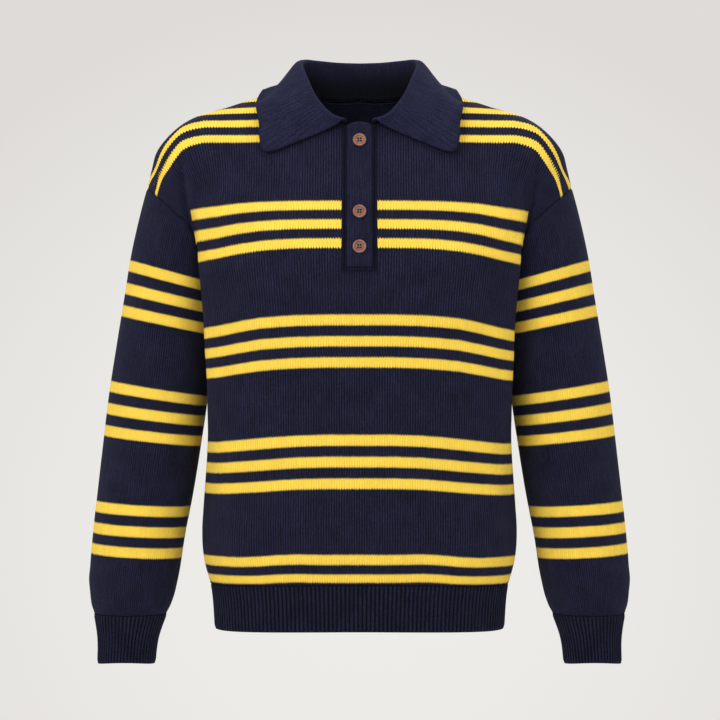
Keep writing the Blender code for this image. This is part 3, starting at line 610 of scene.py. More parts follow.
# Bottom and top of each stripe, from the shoulders down.
STRIPES = (
    (0.0168, 0.0257), (-0.0090, 0.0036), (-0.0336, -0.0234), (-0.0567, -0.0463),
    (-0.1431, -0.1321), (-0.1664, -0.1551), (-0.1899, -0.1785),
    (-0.2832, -0.2706), (-0.3085, -0.2964), (-0.3339, -0.3218),
    (-0.4278, -0.4148), (-0.4537, -0.4411), (-0.4796, -0.4672),
    (-0.5708, -0.5588), (-0.5928, -0.5828),
)
NAVY = (0.0100, 0.0106, 0.0270, 1.0)
YELLOW = (0.850, 0.588, 0.072, 1.0)


def knit(name, stripes, navy, wale, row_height, teeth, depth, contrast, clear=None):
    """Knitted cloth on the fabric UV map, in metres.

    Each wale is a column of stitches: a rounded hill across, with a zigzag that lifts the rows in
    its middle, so that the stripes' edges come out as small teeth.  The gaps between wales carry
    painted shade and the hills painted light, with paler fibres, and broad blotches tell of uneven
    dye and wear.  The second UV map puts painted shade in the grooves along the seams and where
    little light comes.  With clear, the shoulder stripes and the chest stripes begin so far from
    the middle, and the chest stripes end at the fold beside the armhole.
    """
    surface = bpy.data.materials.new(name)
    surface.use_nodes = True
    tree = surface.node_tree
    nodes, links = tree.nodes, tree.links
    bsdf = nodes["Principled BSDF"]

    def do(operation, *values):
        """A math node in this material."""
        return maths(tree, operation, *values)

    def noise(scale, detail, vector):
        """A noise texture's values, read at the given vector."""
        node = nodes.new("ShaderNodeTexNoise")
        node.inputs["Scale"].default_value = scale
        node.inputs["Detail"].default_value = detail
        node.inputs["Roughness"].default_value = 0.6
        links.new(vector, node.inputs["Vector"])
        return node.outputs["Fac"]

    uv = nodes.new("ShaderNodeUVMap")
    uv.uv_map = "fabric"
    part = nodes.new("ShaderNodeSeparateXYZ")
    links.new(uv.outputs["UV"], part.inputs[0])
    wander = do("MULTIPLY", do("SUBTRACT", noise(110.0, 2.0, uv.outputs["UV"]), 0.5), 0.0016)
    u = do("ADD", part.outputs["X"], wander)
    v = do("ADD", part.outputs["Y"], do("MULTIPLY", wander, 0.6))
    place = do("FRACT", do("DIVIDE", u, wale))
    fold = do("ABSOLUTE", do("SUBTRACT", do("MULTIPLY", place, 2.0), 1.0))
    height = do("SUBTRACT", v, do("MULTIPLY", do("SUBTRACT", fold, 0.5), teeth))
    row = do("FRACT", do("DIVIDE", height, row_height))
    across = do("SUBTRACT", 1.0, do("POWER", fold, 2.2))
    along = do("SINE", do("MULTIPLY", row, 3.14159))
    stitch = do("MULTIPLY", across, do("ADD", do("MULTIPLY", along, 0.45), 0.55))
    fibre = noise(1100.0, 3.0, uv.outputs["UV"])
    column = nodes.new("ShaderNodeCombineXYZ")
    links.new(do("MULTIPLY", part.outputs["X"], 330.0), column.inputs[0])
    links.new(do("MULTIPLY", part.outputs["Y"], 42.0), column.inputs[1])
    streak = noise(1.0, 2.0, column.outputs[0])
    blotch = noise(34.0, 4.0, uv.outputs["UV"])
    speck = noise(420.0, 2.0, uv.outputs["UV"])

    # Painted shade in the gaps between wales and painted light on the stitches' hills, times random
    # fibres, specks, streaks and blotches.
    light = do("ADD", do("MULTIPLY", stitch, contrast), 1.0 - 0.55 * contrast)
    for grain, strength, base in ((fibre, 1.5, 0.25), (speck, 1.7, 0.15),
                                  (streak, 1.0, 0.50), (blotch, 1.0, 0.50)):
        light = do("MULTIPLY", light, do("ADD", do("MULTIPLY", grain, strength), base))

    colour = nodes.new("ShaderNodeMix")
    colour.data_type = "RGBA"
    colour.inputs["A"].default_value = navy
    colour.inputs["B"].default_value = YELLOW
    inside = None
    own = nodes.new("ShaderNodeTexCoord")
    spot = nodes.new("ShaderNodeSeparateXYZ")
    links.new(own.outputs["Object"], spot.inputs[0])
    for bottom, top in stripes:
        band = do("COMPARE", height, (bottom + top) / 2, (top - bottom) / 2)
        if clear is not None and bottom > CHEST_STRIPES_END:
            on_shoulder = bottom > SHOULDER_STRIPES_END
            first = clear[0] if on_shoulder else clear[1]
            past = do("GREATER_THAN", do("ABSOLUTE", part.outputs["X"]), first)
            band = do("MULTIPLY", band, past)
            if not on_shoulder:
                reach = do("ADD", do("MULTIPLY", spot.outputs["Z"], FOLD_SLOPE), FOLD_OUT)
                short = do("LESS_THAN", do("ABSOLUTE", spot.outputs["X"]), reach)
                band = do("MULTIPLY", band, short)
        inside = band if inside is None else do("MAXIMUM", inside, band)
    colour.inputs["Factor"].default_value = 0.0
    if inside is not None:
        links.new(inside, colour.inputs["Factor"])
        pale = do("ADD", do("MULTIPLY", light, 0.22), 0.78)
        blend = nodes.new("ShaderNodeMix")
        links.new(inside, blend.inputs["Factor"])
        links.new(light, blend.inputs["A"])
        links.new(pale, blend.inputs["B"])
        light = blend.outputs["Result"]
    making = nodes.new("ShaderNodeUVMap")
    making.uv_map = "making"
    made = nodes.new("ShaderNodeSeparateXYZ")
    links.new(making.outputs["UV"], made.inputs[0])
    # Painted shade in the groove along each seam, then the painted light and shade of the map's second
    # channel.
    near = do("POWER", do("DIVIDE", made.outputs["X"], GROOVE), 2.0)
    groove = do("EXPONENT", do("MULTIPLY", near, -1.0))
    light = do("MULTIPLY", light, do("SUBTRACT", 1.0, do("MULTIPLY", groove, 0.7)))
    light = do("MULTIPLY", light, made.outputs["Y"])
    tint = nodes.new("ShaderNodeVectorMath")
    tint.operation = "SCALE"
    links.new(colour.outputs["Result"], tint.inputs[0])
    links.new(light, tint.inputs["Scale"])
    links.new(tint.outputs[0], bsdf.inputs["Base Color"])

    bump = nodes.new("ShaderNodeBump")
    bump.inputs["Distance"].default_value = depth
    bump.inputs["Strength"].default_value = 0.9
    if inside is not None:
        links.new(do("SUBTRACT", 0.9, do("MULTIPLY", inside, 0.55)), bump.inputs["Strength"])
    links.new(do("ADD", stitch, do("MULTIPLY", fibre, 0.4)), bump.inputs["Height"])
    links.new(bump.outputs["Normal"], bsdf.inputs["Normal"])
    bsdf.inputs["Roughness"].default_value = 0.95
    bsdf.inputs["Specular IOR Level"].default_value = 0.08
    bsdf.inputs["Sheen Weight"].default_value = 0.05
    bsdf.inputs["Sheen Roughness"].default_value = 0.5
    bsdf.inputs["Sheen Tint"].default_value = (0.45, 0.50, 0.85, 1.0)
    return surface


jersey = knit("striped_jersey", STRIPES, NAVY, WALE, COURSE, 0.0026, 0.0008, 1.60, (0.088, 0.0212))

# Creases: place u and v in the cloth, degrees it turns, length, width, depth.
FRONT_CREASES = (
    (0.150, -0.545, 80, 0.055, 0.016, 0.0030),
    (-0.150, -0.550, 100, 0.050, 0.017, 0.0030),
    (0.095, -0.560, 86, 0.045, 0.020, -0.0022),
    (-0.105, -0.555, 95, 0.045, 0.020, -0.0022),
    (0.035, -0.555, 90, 0.040, 0.024, 0.0016),
    (-0.040, -0.560, 90, 0.040, 0.022, 0.0014),
    (0.205, -0.480, 84, 0.080, 0.018, -0.0030),
    (-0.205, -0.470, 96, 0.080, 0.018, -0.0030),
    (0.165, -0.250, 62, 0.070, 0.017, -0.0024),
    (-0.165, -0.255, 118, 0.065, 0.017, -0.0024),
    (0.195, -0.330, 70, 0.070, 0.015, 0.0024),
    (-0.195, -0.320, 110, 0.070, 0.015, 0.0024),
    (0.130, -0.095, 35, 0.050, 0.014, -0.0014),
    (-0.130, -0.100, 145, 0.050, 0.014, -0.0014),
)
FINE = 6                 # cells of the mesh in one cell of the panel's grid
ROW_CEILING = 0.030      # rows stay below this on the shoulder, so that no stripe makes a loop
ROW_CEILING_DROP = 0.0415
low_heights = np.concatenate((np.linspace(HEM_TOP + SEAM, SLOT_BOTTOM, 14), (-0.196,)))
half = finer(half_panel(-1, SLOT_HALF_WIDTH, 15, low_heights, 11), FINE)
half_u = SLOT_HALF_WIDTH + np.linspace(0.0, 1.0, half.shape[1]) * (PANEL_HALF_WIDTH - SLOT_HALF_WIDTH)
middle_x = np.linspace(-SLOT_HALF_WIDTH, SLOT_HALF_WIDTH, 9)[1:-1]
strip = np.stack((np.broadcast_to(middle_x, (half.shape[0], 7)), np.zeros((half.shape[0], 7)),
                  np.broadcast_to(half[:, :1, 2], (half.shape[0], 7))), axis=-1)
strip = cast(body, strip, np.array((0.0, -1.0, 0.0)), -0.01, 0.3)
left_half = half[:, ::-1] * np.array((-1.0, 1.0, 1.0))
points = np.concatenate((left_half, strip, half), axis=1)
across_u = np.concatenate((-half_u[::-1], middle_x, half_u))
u = np.broadcast_to(across_u, points.shape[:2])
v = course(points)
limit = ROW_CEILING - ROW_CEILING_DROP * ramp_up(np.abs(points[..., 0]), 0.185, 0.222)
v = np.where(v > limit, limit - 0.35 * (v - limit), v)
from_slit = np.clip((np.abs(u) - SLOT_HALF_WIDTH - 0.006) / 0.03, 0, 1)
slit_fade = np.where(points[..., 2] > SLOT_BOTTOM - 0.03, from_slit, 1.0)
beside = np.abs(u) - PLACKET_HALF_WIDTH - PLACKET_TRIM
below = PLACKET_BOTTOM - 0.0008 - points[..., 2]
slot = np.where(below > 0, np.hypot(np.maximum(beside, 0), below), beside)
points, v, seam = dressed(points, u, v, FRONT_CREASES, slit_fade)
# Painted shade also in the groove round the placket's slit and its lower end.
seam = np.minimum(seam, np.abs(slot) * 0.6)
keep = np.ones((points.shape[0] - 1, points.shape[1] - 1), dtype=bool)
slit_row = 13 * FINE
keep[slit_row:, half.shape[1] - 1:half.shape[1] + 7] = False
front = cloth("front_jersey", points, np.stack((u, v), axis=-1), keep, seam)
turned_out(front, np.array((0.0, 0.0, -0.35)))
thick(front, WALL)
front.data.materials.append(jersey)
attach(front, "root")
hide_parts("front")

# ---- Back panel ---------------------------------------------------------------------------
# The same jersey and the same stripes without the slit, sewn to the front at the shoulders and
# sides.  It hangs a little freer, with two long soft folds from the shoulder blades.
BACK_CREASES = (
    (0.105, -0.350, 84, 0.150, 0.024, -0.0035),
    (-0.110, -0.360, 97, 0.150, 0.024, -0.0035),
    (0.160, -0.540, 82, 0.055, 0.016, 0.0030),
    (-0.155, -0.545, 99, 0.050, 0.017, 0.0030),
    (0.050, -0.550, 88, 0.045, 0.020, -0.0020),
    (-0.045, -0.556, 92, 0.045, 0.022, -0.0020),
    (0.000, -0.548, 90, 0.040, 0.020, 0.0016),
    (0.200, -0.290, 66, 0.075, 0.016, -0.0028),
    (-0.200, -0.280, 114, 0.075, 0.016, -0.0028),
    (0.140, -0.110, 30, 0.055, 0.015, -0.0016),
    (-0.140, -0.115, 150, 0.055, 0.015, -0.0016),
)
half = finer(half_panel(1, 0.0, 15, low_heights, 11), FINE)
half_u = np.linspace(0.0, 1.0, half.shape[1]) * PANEL_HALF_WIDTH
points = np.concatenate((half[:, :0:-1] * np.array((-1.0, 1.0, 1.0)), half), axis=1)
u = np.broadcast_to(np.concatenate((-half_u[:0:-1], half_u)), points.shape[:2])
points, v, seam = dressed(points, u, course(points), BACK_CREASES)
keep = np.ones((points.shape[0] - 1, points.shape[1] - 1), dtype=bool)
back = cloth("back_jersey", points, np.stack((u, v), axis=-1), keep, seam)
turned_out(back, np.array((0.0, 0.0, -0.35)))
thick(back, WALL)
back.data.materials.append(knit("striped_back", STRIPES[4:], NAVY, WALE, COURSE, 0.0024, 0.0008, 1.45))
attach(back, "root")
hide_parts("back")

# ---- Sleeves ------------------------------------------------------------------------------
# Each sleeve is a tapered tube of the striped jersey, sewn to the sloping armhole and gathered
# into the cuff, over which it blouses.
CUFF_TOP = -0.641
SLEEVE_GIRTH = 0.40      # width of the flat sleeve, which the creases' places count from its underseam
SLEEVE_STRIPES = (
    (-0.2252, -0.2118), (-0.2534, -0.2399), (-0.2807, -0.2673),
    (-0.3743, -0.3615), (-0.4011, -0.3880), (-0.4273, -0.4146),
    (-0.5184, -0.5057), (-0.5446, -0.5317), (-0.5702, -0.5578),
)
SLEEVE_CREASES = (
    (0.060, -0.592, 12, 0.050, 0.011, 0.0036),
    (0.125, -0.600, -8, 0.045, 0.010, 0.0030),
    (0.300, -0.595, 14, 0.060, 0.011, 0.0036),
    (0.110, -0.565, 8, 0.050, 0.010, -0.0028),
    (0.280, -0.548, -12, 0.050, 0.010, -0.0026),
    (0.090, -0.300, 55, 0.060, 0.013, -0.0026),
    (0.290, -0.330, 120, 0.060, 0.014, -0.0028),
    (0.140, -0.265, 68, 0.045, 0.013, -0.0022),
    (0.125, -0.450, 82, 0.075, 0.016, 0.0020),
    (0.330, -0.470, 96, 0.070, 0.016, 0.0020),
    (0.085, -0.155, 84, 0.045, 0.009, 0.0030),
    (0.112, -0.190, 78, 0.050, 0.010, -0.0024),
)
sleeve_jersey = knit("sleeve_jersey", SLEEVE_STRIPES, NAVY, WALE, COURSE, 0.0024, 0.0008, 1.25)


def sleeve_points(share, turn):
    """Sleeve at a share of its length and a turn round it (0 to 1).

    The ring's plane tilts evenly from the armhole's slope to level at the cuff.
    """
    outer_z = ARMHOLE_TOP[1] + (CUFF_TOP + SEAM - ARMHOLE_TOP[1]) * share
    inner_z = ARMHOLE_UNDER[1] + (CUFF_TOP + SEAM - ARMHOLE_UNDER[1]) * share
    top = np.stack((read(ARM, ARM_COLUMNS, "outer", outer_z), np.zeros_like(share), outer_z), axis=-1)
    under = np.stack((read(ARM, ARM_COLUMNS, "inner", inner_z), np.zeros_like(share), inner_z), axis=-1)
    along = (top - under) / np.linalg.norm(top - under, axis=-1, keepdims=True)
    angle = turn * 2 * np.pi
    start = (top + under) / 2
    start[..., 1] = read(ARM, ARM_COLUMNS, "centre_y", start[..., 2])
    direction = np.cos(angle)[..., None] * along + np.sin(angle)[..., None] * np.array((0.0, -1.0, 0.0))
    return cast(arm, start, direction, 0.005, 0.14)


def sleeve_course(p):
    """Height of the sleeve's knitted rows, which rise outwards, most of all at the top."""
    slope = np.interp(p[..., 2], (-0.64, -0.56, -0.51, -0.41, -0.365, -0.27, -0.215, -0.15),
                      (0.03, 0.055, 0.055, 0.118, 0.155, 0.215, 0.280, 0.330))
    return p[..., 2] + slope * (0.248 - p[..., 0])


for name, side in (("sleeve_right", -1), ("sleeve_left", 1)):
    share, turn = np.meshgrid(np.linspace(0.0009, 1.0, 120), np.linspace(0.0, 1.0, 97), indexing="ij")
    seam_line = armhole(-turn[0] * 2 * np.pi, -0.0012)
    tuck = np.interp(np.where(turn[0] < 0.5, turn[0], 0.0) * 360.0, TUCK_TURNS, TUCK_LOWER)
    points = sleeve_points(share + 2.7 * tuck * (1 - share) ** 7, turn)
    pull = np.clip(1 - share / 0.12, 0, 1)[..., None] ** 2
    points = onto(arm, points + pull * (seam_line - points[0]), 2)
    u = turn * SLEEVE_GIRTH
    v = sleeve_course(points)
    rows = np.arange(120)
    fade = np.clip(np.minimum(rows, 119 - rows) / 5.0, 0, 1)[:, None]
    bulge = sum(creased(u + step, v, SLEEVE_CREASES) for step in (0.0, -SLEEVE_GIRTH, SLEEVE_GIRTH))
    seam = from_edges(points, ("bottom",))
    rise = bulge * fade - 0.0013 * np.exp(-(seam / 0.0022) ** 2)
    rise = rise - 0.0012 * np.exp(-((1 - share) / 0.012) ** 2)
    points = points + outward(arm, points) * rise[..., None]
    points = points * np.array((side, 1.0, 1.0))
    uv = np.stack((u, v), axis=-1)
    sleeve = cloth(name + "_jersey", points[:, :-1], uv, np.ones((119, 96), dtype=bool), seam)
    turned_out(sleeve, np.array((0.245 * side, 0.0, -0.4)))
    thick(sleeve, WALL)
    sleeve.data.materials.append(sleeve_jersey)
    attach(sleeve, "root")
    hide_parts(name)

# ---- Hem rib ------------------------------------------------------------------------------
# A band knitted as raised ribs with narrow valleys, sewn to the bottom of front and back and
# drawn in a little, so that the body blouses over it.
HEM_BOTTOM = -0.653
HEM_RIBS = 190
RIB_WIDTH = 0.0054       # of the cloth, flat
RIB_HEIGHT = 0.0012
RIB_WALL = 0.0016        # what is left of the wall behind the ribs
EDGE_DIP = 0.0048        # the lower edge hangs so much lower at the sides
RIB_NAVY = (0.0078, 0.0084, 0.0205, 1.0)
rib_knit = knit("rib_knit", (), RIB_NAVY, RIB_WIDTH, 0.0024, 0.0012, 0.0005, 1.5)


def rib_depth(turn, ribs, level):
    """Depth below the rib's crest: a rounded hill and a narrow valley, repeated ribs times.

    Level is 0 to 1 across the band.  At both ends the ribs are a third as high, rolled inwards.
    """
    ends = np.minimum(level, 1 - level)
    wave = RIB_HEIGHT * (1 - np.abs(np.sin(np.pi * ribs * turn)) ** 0.55)
    return wave * (0.35 + 0.65 * np.clip(ends / 0.05, 0, 1)) + 0.0010 * np.exp(-(ends / 0.03) ** 2)


def valley(turn, ribs):
    """Light that reaches a place in the rib: full on the hills, about half in the valleys."""
    return 0.45 + 0.55 * np.abs(np.sin(np.pi * ribs * turn)) ** 0.7


def torso_ring(z, turn):
    """The torso's outline at a height, evenly spaced by its length; turn is 0 to 1."""
    angle = np.linspace(0, 2 * np.pi, 1441)
    start = np.stack((np.zeros(1441), np.zeros(1441), np.full(1441, z)), axis=1)
    direction = np.stack((np.cos(angle), np.sin(angle), np.zeros(1441)), axis=1)
    return spaced(cast(torso, start, direction, 0.01, 0.4), turn)


turn = np.linspace(0.0, 1.0, HEM_RIBS * 8 + 1)
levels = np.linspace(0.0, 1.0, 15)
points = np.stack([torso_ring(HEM_TOP - SEAM / 2 + (HEM_BOTTOM - HEM_TOP) * k, turn) for k in levels])
way = np.gradient(points, axis=1)
way[:, 0] = way[:, -1] = points[:, 1] - points[:, -2]
normal = np.stack((way[..., 1], -way[..., 0], np.zeros(way.shape[:2])), axis=-1)
normal = normal / np.linalg.norm(normal, axis=-1, keepdims=True)
points = points - normal * rib_depth(turn, HEM_RIBS, levels[:, None])[..., None]
points[..., 2] -= side_dip(points) * (1 - levels[:, None])
points[..., 2] -= EDGE_DIP * levels[:, None] * (points[..., 0] / 0.18) ** 2
u = np.broadcast_to(turn * HEM_RIBS * RIB_WIDTH, points.shape[:2])
uv = np.stack((u, points[..., 2]), axis=-1)
shade = np.broadcast_to(valley(turn, HEM_RIBS)[None, :], points.shape[:2])
hem = cloth("hem_rib_knit", points[:, :-1], uv, np.ones((14, HEM_RIBS * 8), dtype=bool), None, shade)
turned_out(hem, np.array((0.0, 0.0, -0.62)))
thick(hem, RIB_WALL)
hem.data.materials.append(rib_knit)
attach(hem, "root")
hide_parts("hem_rib")

# ---- Cuffs --------------------------------------------------------------------------------
# The same rib in a short tube at each wrist, sewn to the gathered end of the sleeve.
CUFF_BOTTOM = -0.6985
CUFF_RIBS = 56
for name, side in (("cuff_right", -1), ("cuff_left", 1)):
    turns = np.linspace(0.0, 1.0, CUFF_RIBS * 8 + 1)
    level, turn = np.meshgrid(np.linspace(0.0, 1.0, 15), turns, indexing="ij")
    z = CUFF_TOP - SEAM / 2 + (CUFF_BOTTOM - CUFF_TOP) * level
    outer, inner, centre_y, half_depth = [read(ARM, ARM_COLUMNS, k, z) for k in ARM_COLUMNS[1:]]
    depth = rib_depth(turn, CUFF_RIBS, level)
    angle = turn * 2 * np.pi
    x = (outer + inner) / 2 + ((outer - inner) / 2 - depth) * np.cos(angle)
    y = centre_y + (half_depth - depth) * np.sin(angle)
    points = np.stack((x * side, y, z - EDGE_DIP * 0.8 * level * np.cos(angle) ** 2), axis=-1)
    uv = np.stack((turn * CUFF_RIBS * RIB_WIDTH, z), axis=-1)
    shade = valley(turn, CUFF_RIBS)
    keep = np.ones((14, CUFF_RIBS * 8), dtype=bool)
    cuff = cloth(name + "_knit", points[:, :-1], uv, keep, None, shade)
    turned_out(cuff, np.array((0.29 * side, 0.0, -0.67)))
    thick(cuff, RIB_WALL)
    cuff.data.materials.append(rib_knit)
    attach(cuff, "root")
    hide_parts(name)

# ---- Collar -------------------------------------------------------------------------------
# A straight band of thicker fine rib, sewn round the neck.  It stands up at the back, folds
# over along the roll line and its two leaves lie on the shoulders and the chest.
COLLAR_WALL = 0.0026     # the collar is knitted thicker
COLLAR_BEND = 0.0042     # radius of the fold
COLLAR_OPENING = 11.3    # degrees from the middle of the front to the collar's end
COLLAR_COLUMNS = ("turn", "roll_x", "roll_y", "roll_z", "edge_x", "edge_y", "edge_z")
COLLAR = (
    (0, 0.0158, -0.0600, -0.0290, 0.1172, -0.0640, -0.0738),
    (12, 0.0290, -0.0560, -0.0250, 0.1228, -0.0570, -0.0530),
    (25, 0.0410, -0.0470, -0.0150, 0.1240, -0.0470, -0.0330),
    (40, 0.0530, -0.0340, 0.0010, 0.1280, -0.0320, -0.0130),
    (60, 0.0640, -0.0110, 0.0260, 0.1268, -0.0080, -0.0048),
    (80, 0.0705, 0.0120, 0.0450, 0.1128, 0.0200, 0.0050),
    (105, 0.0675, 0.0380, 0.0543, 0.1010, 0.0520, 0.0050),
    (130, 0.0520, 0.0570, 0.0560, 0.0780, 0.0700, 0.0000),
    (155, 0.0270, 0.0670, 0.0550, 0.0400, 0.0770, -0.0050),
    (180, 0.0000, 0.0690, 0.0544, 0.0000, 0.0780, -0.0070),
)
COLLAR_NAVY = (0.0120, 0.0129, 0.0330, 1.0)
collar_knit = knit("collar_rib", (), COLLAR_NAVY, 0.0040, 0.0024, 0.0010, 0.0005, 0.26)


def collar_points(turn, share):
    """The middle of the collar's wall, turn in degrees round the neck and share across it.

    0 to 0.3 is the stand, a straight line from the seam; 0.3 to 0.5 the fold, an arc of 150
    degrees; 0.5 to 1 the leaf, a quadratic curve to the edge, kept clear of the body.
    """
    turn, share = np.broadcast_arrays(turn, share)
    seam = neckline(np.radians(COLLAR_OPENING + turn * (180 - COLLAR_OPENING) / 180))
    roll = np.stack([read(COLLAR, COLLAR_COLUMNS, "roll_" + k, turn) for k in "xyz"], axis=-1)
    edge = np.stack([read(COLLAR, COLLAR_COLUMNS, "edge_" + k, turn) for k in "xyz"], axis=-1)
    seam[..., 2] += 0.0016
    up = roll - seam
    up = up / np.linalg.norm(up, axis=-1, keepdims=True)
    out = edge - roll
    out = out - up * np.sum(out * up, axis=-1, keepdims=True)
    out = out / np.linalg.norm(out, axis=-1, keepdims=True)
    bend = COLLAR_BEND
    end = np.radians(150)
    t = np.clip(share / 0.3, 0, 1)[..., None]
    stand = seam + (roll - up * bend - seam) * t
    a = (np.clip((share - 0.3) / 0.2, 0, 1) * end)[..., None]
    fold = roll - up * bend + out * bend * (1 - np.cos(a)) + up * bend * np.sin(a)
    last = roll - up * bend + out * bend * (1 - np.cos(end)) + up * bend * np.sin(end)
    way = out * np.sin(end) + up * np.cos(end)
    reach = np.linalg.norm(edge - last, axis=-1, keepdims=True)
    knee = last + way * reach * 0.12 + out * reach * 0.02
    s = np.clip((share - 0.5) / 0.5, 0, 1)[..., None]
    leaf = (1 - s) ** 2 * last + 2 * s * (1 - s) * knee + s ** 2 * edge
    here = share[..., None]
    points = np.where(here <= 0.3, stand, np.where(here <= 0.5, fold, leaf))
    for _ in range(3):
        clear = np.maximum(0.0036 - body(points), 0) * np.clip((share - 0.3) / 0.1, 0, 1)
        points = points + outward(body, points) * clear[..., None]
    return points


half_turn = np.concatenate((np.linspace(0, 60, 61), np.linspace(60, 180, 91)[1:]))
share = np.concatenate((np.linspace(0, 0.3, 14), np.linspace(0.3, 0.5, 13)[1:],
                        np.linspace(0.5, 1, 31)[1:]))
round_off = 0.040 * (1 - np.sqrt(1 - np.clip(1 - half_turn / 5.0, 0, 1) ** 2))
shorter = 1 - round_off * ramp_up(share, 0.5, 1.0)[:, None]
half = collar_points(half_turn[None, :], share[:, None] * shorter)
points = np.concatenate((half[:, :-1] * np.array((-1.0, 1.0, 1.0)), half[:, ::-1]), axis=1)
roll_row = int(np.argmin(np.abs(share - 0.4)))
roll_line = spaced(points[roll_row], np.linspace(0.0, 1.0, 1200))
roll_length = np.linalg.norm(np.diff(points[roll_row], axis=0), axis=1).sum()
nearest = np.stack([np.argmin(np.sum((roll_line - row[:, None]) ** 2, axis=2), axis=1) for row in points])
u = nearest / 1199 * roll_length
for _ in range(12):
    u[1:-1, 1:-1] = (u[:-2, 1:-1] + u[2:, 1:-1] + u[1:-1, :-2] + u[1:-1, 2:]) / 4
up_steps = np.linalg.norm(np.diff(points, axis=0), axis=2)
v = np.concatenate((np.zeros((1, points.shape[1])), np.cumsum(up_steps, axis=0)))
normal = np.cross(np.gradient(points, axis=0), np.gradient(points, axis=1))
normal = normal / np.linalg.norm(normal, axis=-1, keepdims=True)
outer = points - normal * COLLAR_WALL / 2
shade = np.broadcast_to((0.08 + 0.92 * ramp_up(share, 0.08, 0.44))[:, None], points.shape[:2])
everywhere = np.ones((points.shape[0] - 1, points.shape[1] - 1), dtype=bool)
seam = from_edges(points, ("bottom",))
collar = cloth("collar_folded", outer, np.stack((u, v), axis=-1), everywhere, seam, shade)
first = collar.data.polygons[len(collar.data.polygons) // 2]
mid = np.array(first.center)
near = np.argmin(np.linalg.norm(outer.reshape(-1, 3) - mid, axis=1))
if np.dot(np.array(first.normal), normal.reshape(-1, 3)[near]) > 0:
    collar.data.flip_normals()
thick(collar, COLLAR_WALL)
collar.data.materials.append(collar_knit)
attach(collar, "root")
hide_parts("collar")

# ---- Placket ------------------------------------------------------------------------------
# Two bands of plain navy knit at the slit: one lies behind and carries the buttons, the other
# lies over it and shows, with its lower end stitched across.
placket_knit = knit("placket_knit", (), NAVY, 0.0030, 0.0023, 0.0014, 0.0005, 0.6)


def placket_points(half_width, top, bottom, lift, columns, rows):
    """Points over the front's middle: a flat grid seen from the front, laid on the body and lifted."""
    x, z = np.meshgrid(np.linspace(-half_width, half_width, columns), np.linspace(bottom, top, rows))
    start = np.stack((x, np.zeros_like(x), z), axis=-1)
    surface = cast(body, start, np.array((0.0, -1.0, 0.0)), -0.01, 0.3)
    normal = outward(body, surface)
    normal[..., 0] = 0.0
    normal = normal / np.linalg.norm(normal, axis=-1, keepdims=True)
    return surface + normal * lift


PLACKET_LIFT = WALL + SEAM
PLACKET_WALL = 0.0020
OVER_HALF_WIDTH = PLACKET_HALF_WIDTH - PLACKET_TRIM
neck_front = float(neckline(np.array(0.0))[2])
for name, node, half_width, bottom, lift in (
        ("placket_band_over", "placket_over", OVER_HALF_WIDTH, PLACKET_BOTTOM, PLACKET_LIFT),
        ("placket_band_under", "placket_under", SLOT_HALF_WIDTH - SEAM, SLOT_BOTTOM + SEAM, 0.0)):
    points = placket_points(half_width, neck_front - 0.001, bottom, lift, 33, 120)
    if lift > 0:
        # The band that shows has a domed top and rounded sides, and waves between its buttons.
        aside = np.abs(points[..., 0]) / half_width
        top_end = ramp_up(points[..., 2], neck_front - 0.020, neck_front)
        points[..., 2] += 0.0036 * top_end * (1 - aside ** 2) - 0.0016 * top_end * aside ** 4
        points[..., 1] += 0.0012 * aside ** 8
        points[..., 1] -= 0.0007 * np.cos(points[..., 2] * 190.0) * (1 - aside ** 2) * 0.5
    uv = np.stack((points[..., 0], points[..., 2]), axis=-1)
    # Painted shade in the grooves along the band's sides, and darker along the stitched line across its
    # lower end.
    seam = np.minimum(from_edges(points, ("left", "right")), np.abs(points[..., 2] - bottom - 0.0035))
    band = cloth(name, points, uv, np.ones((119, 32), dtype=bool), seam)
    turned_out(band, np.array((0.0, 0.2, -0.13)))
    thick(band, PLACKET_WALL)
    band.data.materials.append(placket_knit)
    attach(band, "root")
    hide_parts(node)

# ---- Buttons ------------------------------------------------------------------------------
# Three round buttons turned from reddish brown wood, with a raised rim, a groove inside it and
# four holes, sewn to the band behind and buttoned through the one in front.
BUTTON_RADIUS = 0.0084
BUTTON_THICKNESS = 0.0034
HOLE_OUT = 0.0016        # each hole's middle from the button's, both ways
HOLE_RADIUS = 0.0012
BUTTON_HEIGHTS = {"button_top": -0.0578, "button_middle": -0.1470, "button_bottom": -0.1896}

brown = bpy.data.materials.new("brown_button")
brown.use_nodes = True
nodes, links = brown.node_tree.nodes, brown.node_tree.links
bsdf = nodes["Principled BSDF"]
place = nodes.new("ShaderNodeTexCoord")
grain = nodes.new("ShaderNodeTexNoise")
grain.inputs["Scale"].default_value = 260.0
grain.inputs["Detail"].default_value = 5.0
tone = nodes.new("ShaderNodeValToRGB")
tone.color_ramp.elements[0].position = 0.3
tone.color_ramp.elements[0].color = (0.190, 0.078, 0.052, 1.0)
tone.color_ramp.elements[1].position = 0.75
tone.color_ramp.elements[1].color = (0.350, 0.158, 0.108, 1.0)
links.new(place.outputs["Object"], grain.inputs["Vector"])
links.new(grain.outputs["Fac"], tone.inputs[0])
spot = nodes.new("ShaderNodeUVMap")
spot.uv_map = "making"
share_of = nodes.new("ShaderNodeSeparateXYZ")
darker = nodes.new("ShaderNodeVectorMath")
darker.operation = "SCALE"
links.new(spot.outputs["UV"], share_of.inputs[0])
links.new(tone.outputs["Color"], darker.inputs[0])
links.new(share_of.outputs["Y"], darker.inputs["Scale"])
links.new(darker.outputs[0], bsdf.inputs["Base Color"])
bsdf.inputs["Roughness"].default_value = 0.42

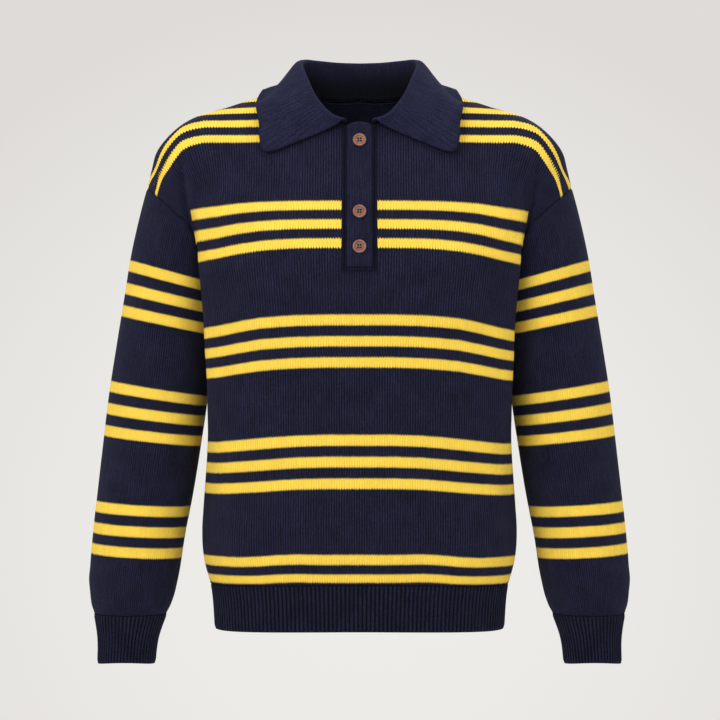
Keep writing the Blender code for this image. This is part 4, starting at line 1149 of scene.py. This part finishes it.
for name, height in BUTTON_HEIGHTS.items():
    seat = placket_points(0.001, height + 0.0005, height - 0.0005, PLACKET_LIFT + SEAM, 3, 3)[1, 1]
    normal = outward(body, seat)
    normal = normal * np.array((0.0, 1.0, 0.6))    # it leans less than the cloth it lies on
    normal = normal / np.linalg.norm(normal)
    seat = seat + normal * 0.0006
    up = np.array((0.0, -normal[2], normal[1]))
    up = up if up[2] > 0 else -up
    shares = np.concatenate((np.linspace(0.0, 0.70, 29), np.linspace(0.70, 1.0, 17)[1:],
                             np.linspace(1.0, 1.6, 9)[1:]))
    angle = np.linspace(0.0, 2 * np.pi, 97)
    s, a = np.meshgrid(shares, angle, indexing="ij")
    radius = np.where(s <= 1.0, s, 1.0) * BUTTON_RADIUS
    radius = radius * np.where(s > 1.0, 1 - 0.12 * (s - 1.0) / 0.6, 1.0)
    rim = np.exp(-((s - 0.86) / 0.10) ** 2)
    lift = BUTTON_THICKNESS * (0.70 + 0.30 * rim - 0.25 * np.clip((s - 0.92) / 0.08, 0, 1) ** 2)
    lift = np.where(s > 1.0, BUTTON_THICKNESS * 0.45 * (1.6 - s) / 0.6, lift)
    x, y = radius * np.cos(a), radius * np.sin(a)
    # Painted shade in the groove at 0.64 of the radius, on the outer edge and in the holes; painted
    # highlights on the rim and in a ring at half the radius.
    shade = 0.74 + 0.34 * ramp_up(s, 0.66, 0.76) - 0.66 * ramp_up(s, 0.88, 1.0)
    shade = shade - 0.46 * np.exp(-((s - 0.64) / 0.055) ** 2)
    shade = shade + 0.14 * np.exp(-((s - 0.50) / 0.07) ** 2)
    for cx in (-1, 1):
        for cy in (-1, 1):
            away = np.hypot(x - HOLE_OUT * cx, y - HOLE_OUT * cy)
            lift = lift - 0.0018 * np.clip((HOLE_RADIUS - away) / 0.0003, 0, 1) * (s < 0.7)
            shade = shade * (1 - 0.98 * np.clip((HOLE_RADIUS + 0.0002 - away) / 0.0003, 0, 1))
    side = np.array((1.0, 0.0, 0.0))
    points = seat + side * x[..., None] + up * y[..., None] + normal * lift[..., None]
    points[0] = points[0].mean(axis=0)
    keep = np.ones((len(shares) - 1, 96), dtype=bool)
    button = cloth(name + "_turned", points[:, :-1], np.stack((x, y), axis=-1), keep, None, shade)
    turned_out(button, seat)
    button.data.materials.append(brown)
    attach(button, "root")
    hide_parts(name)
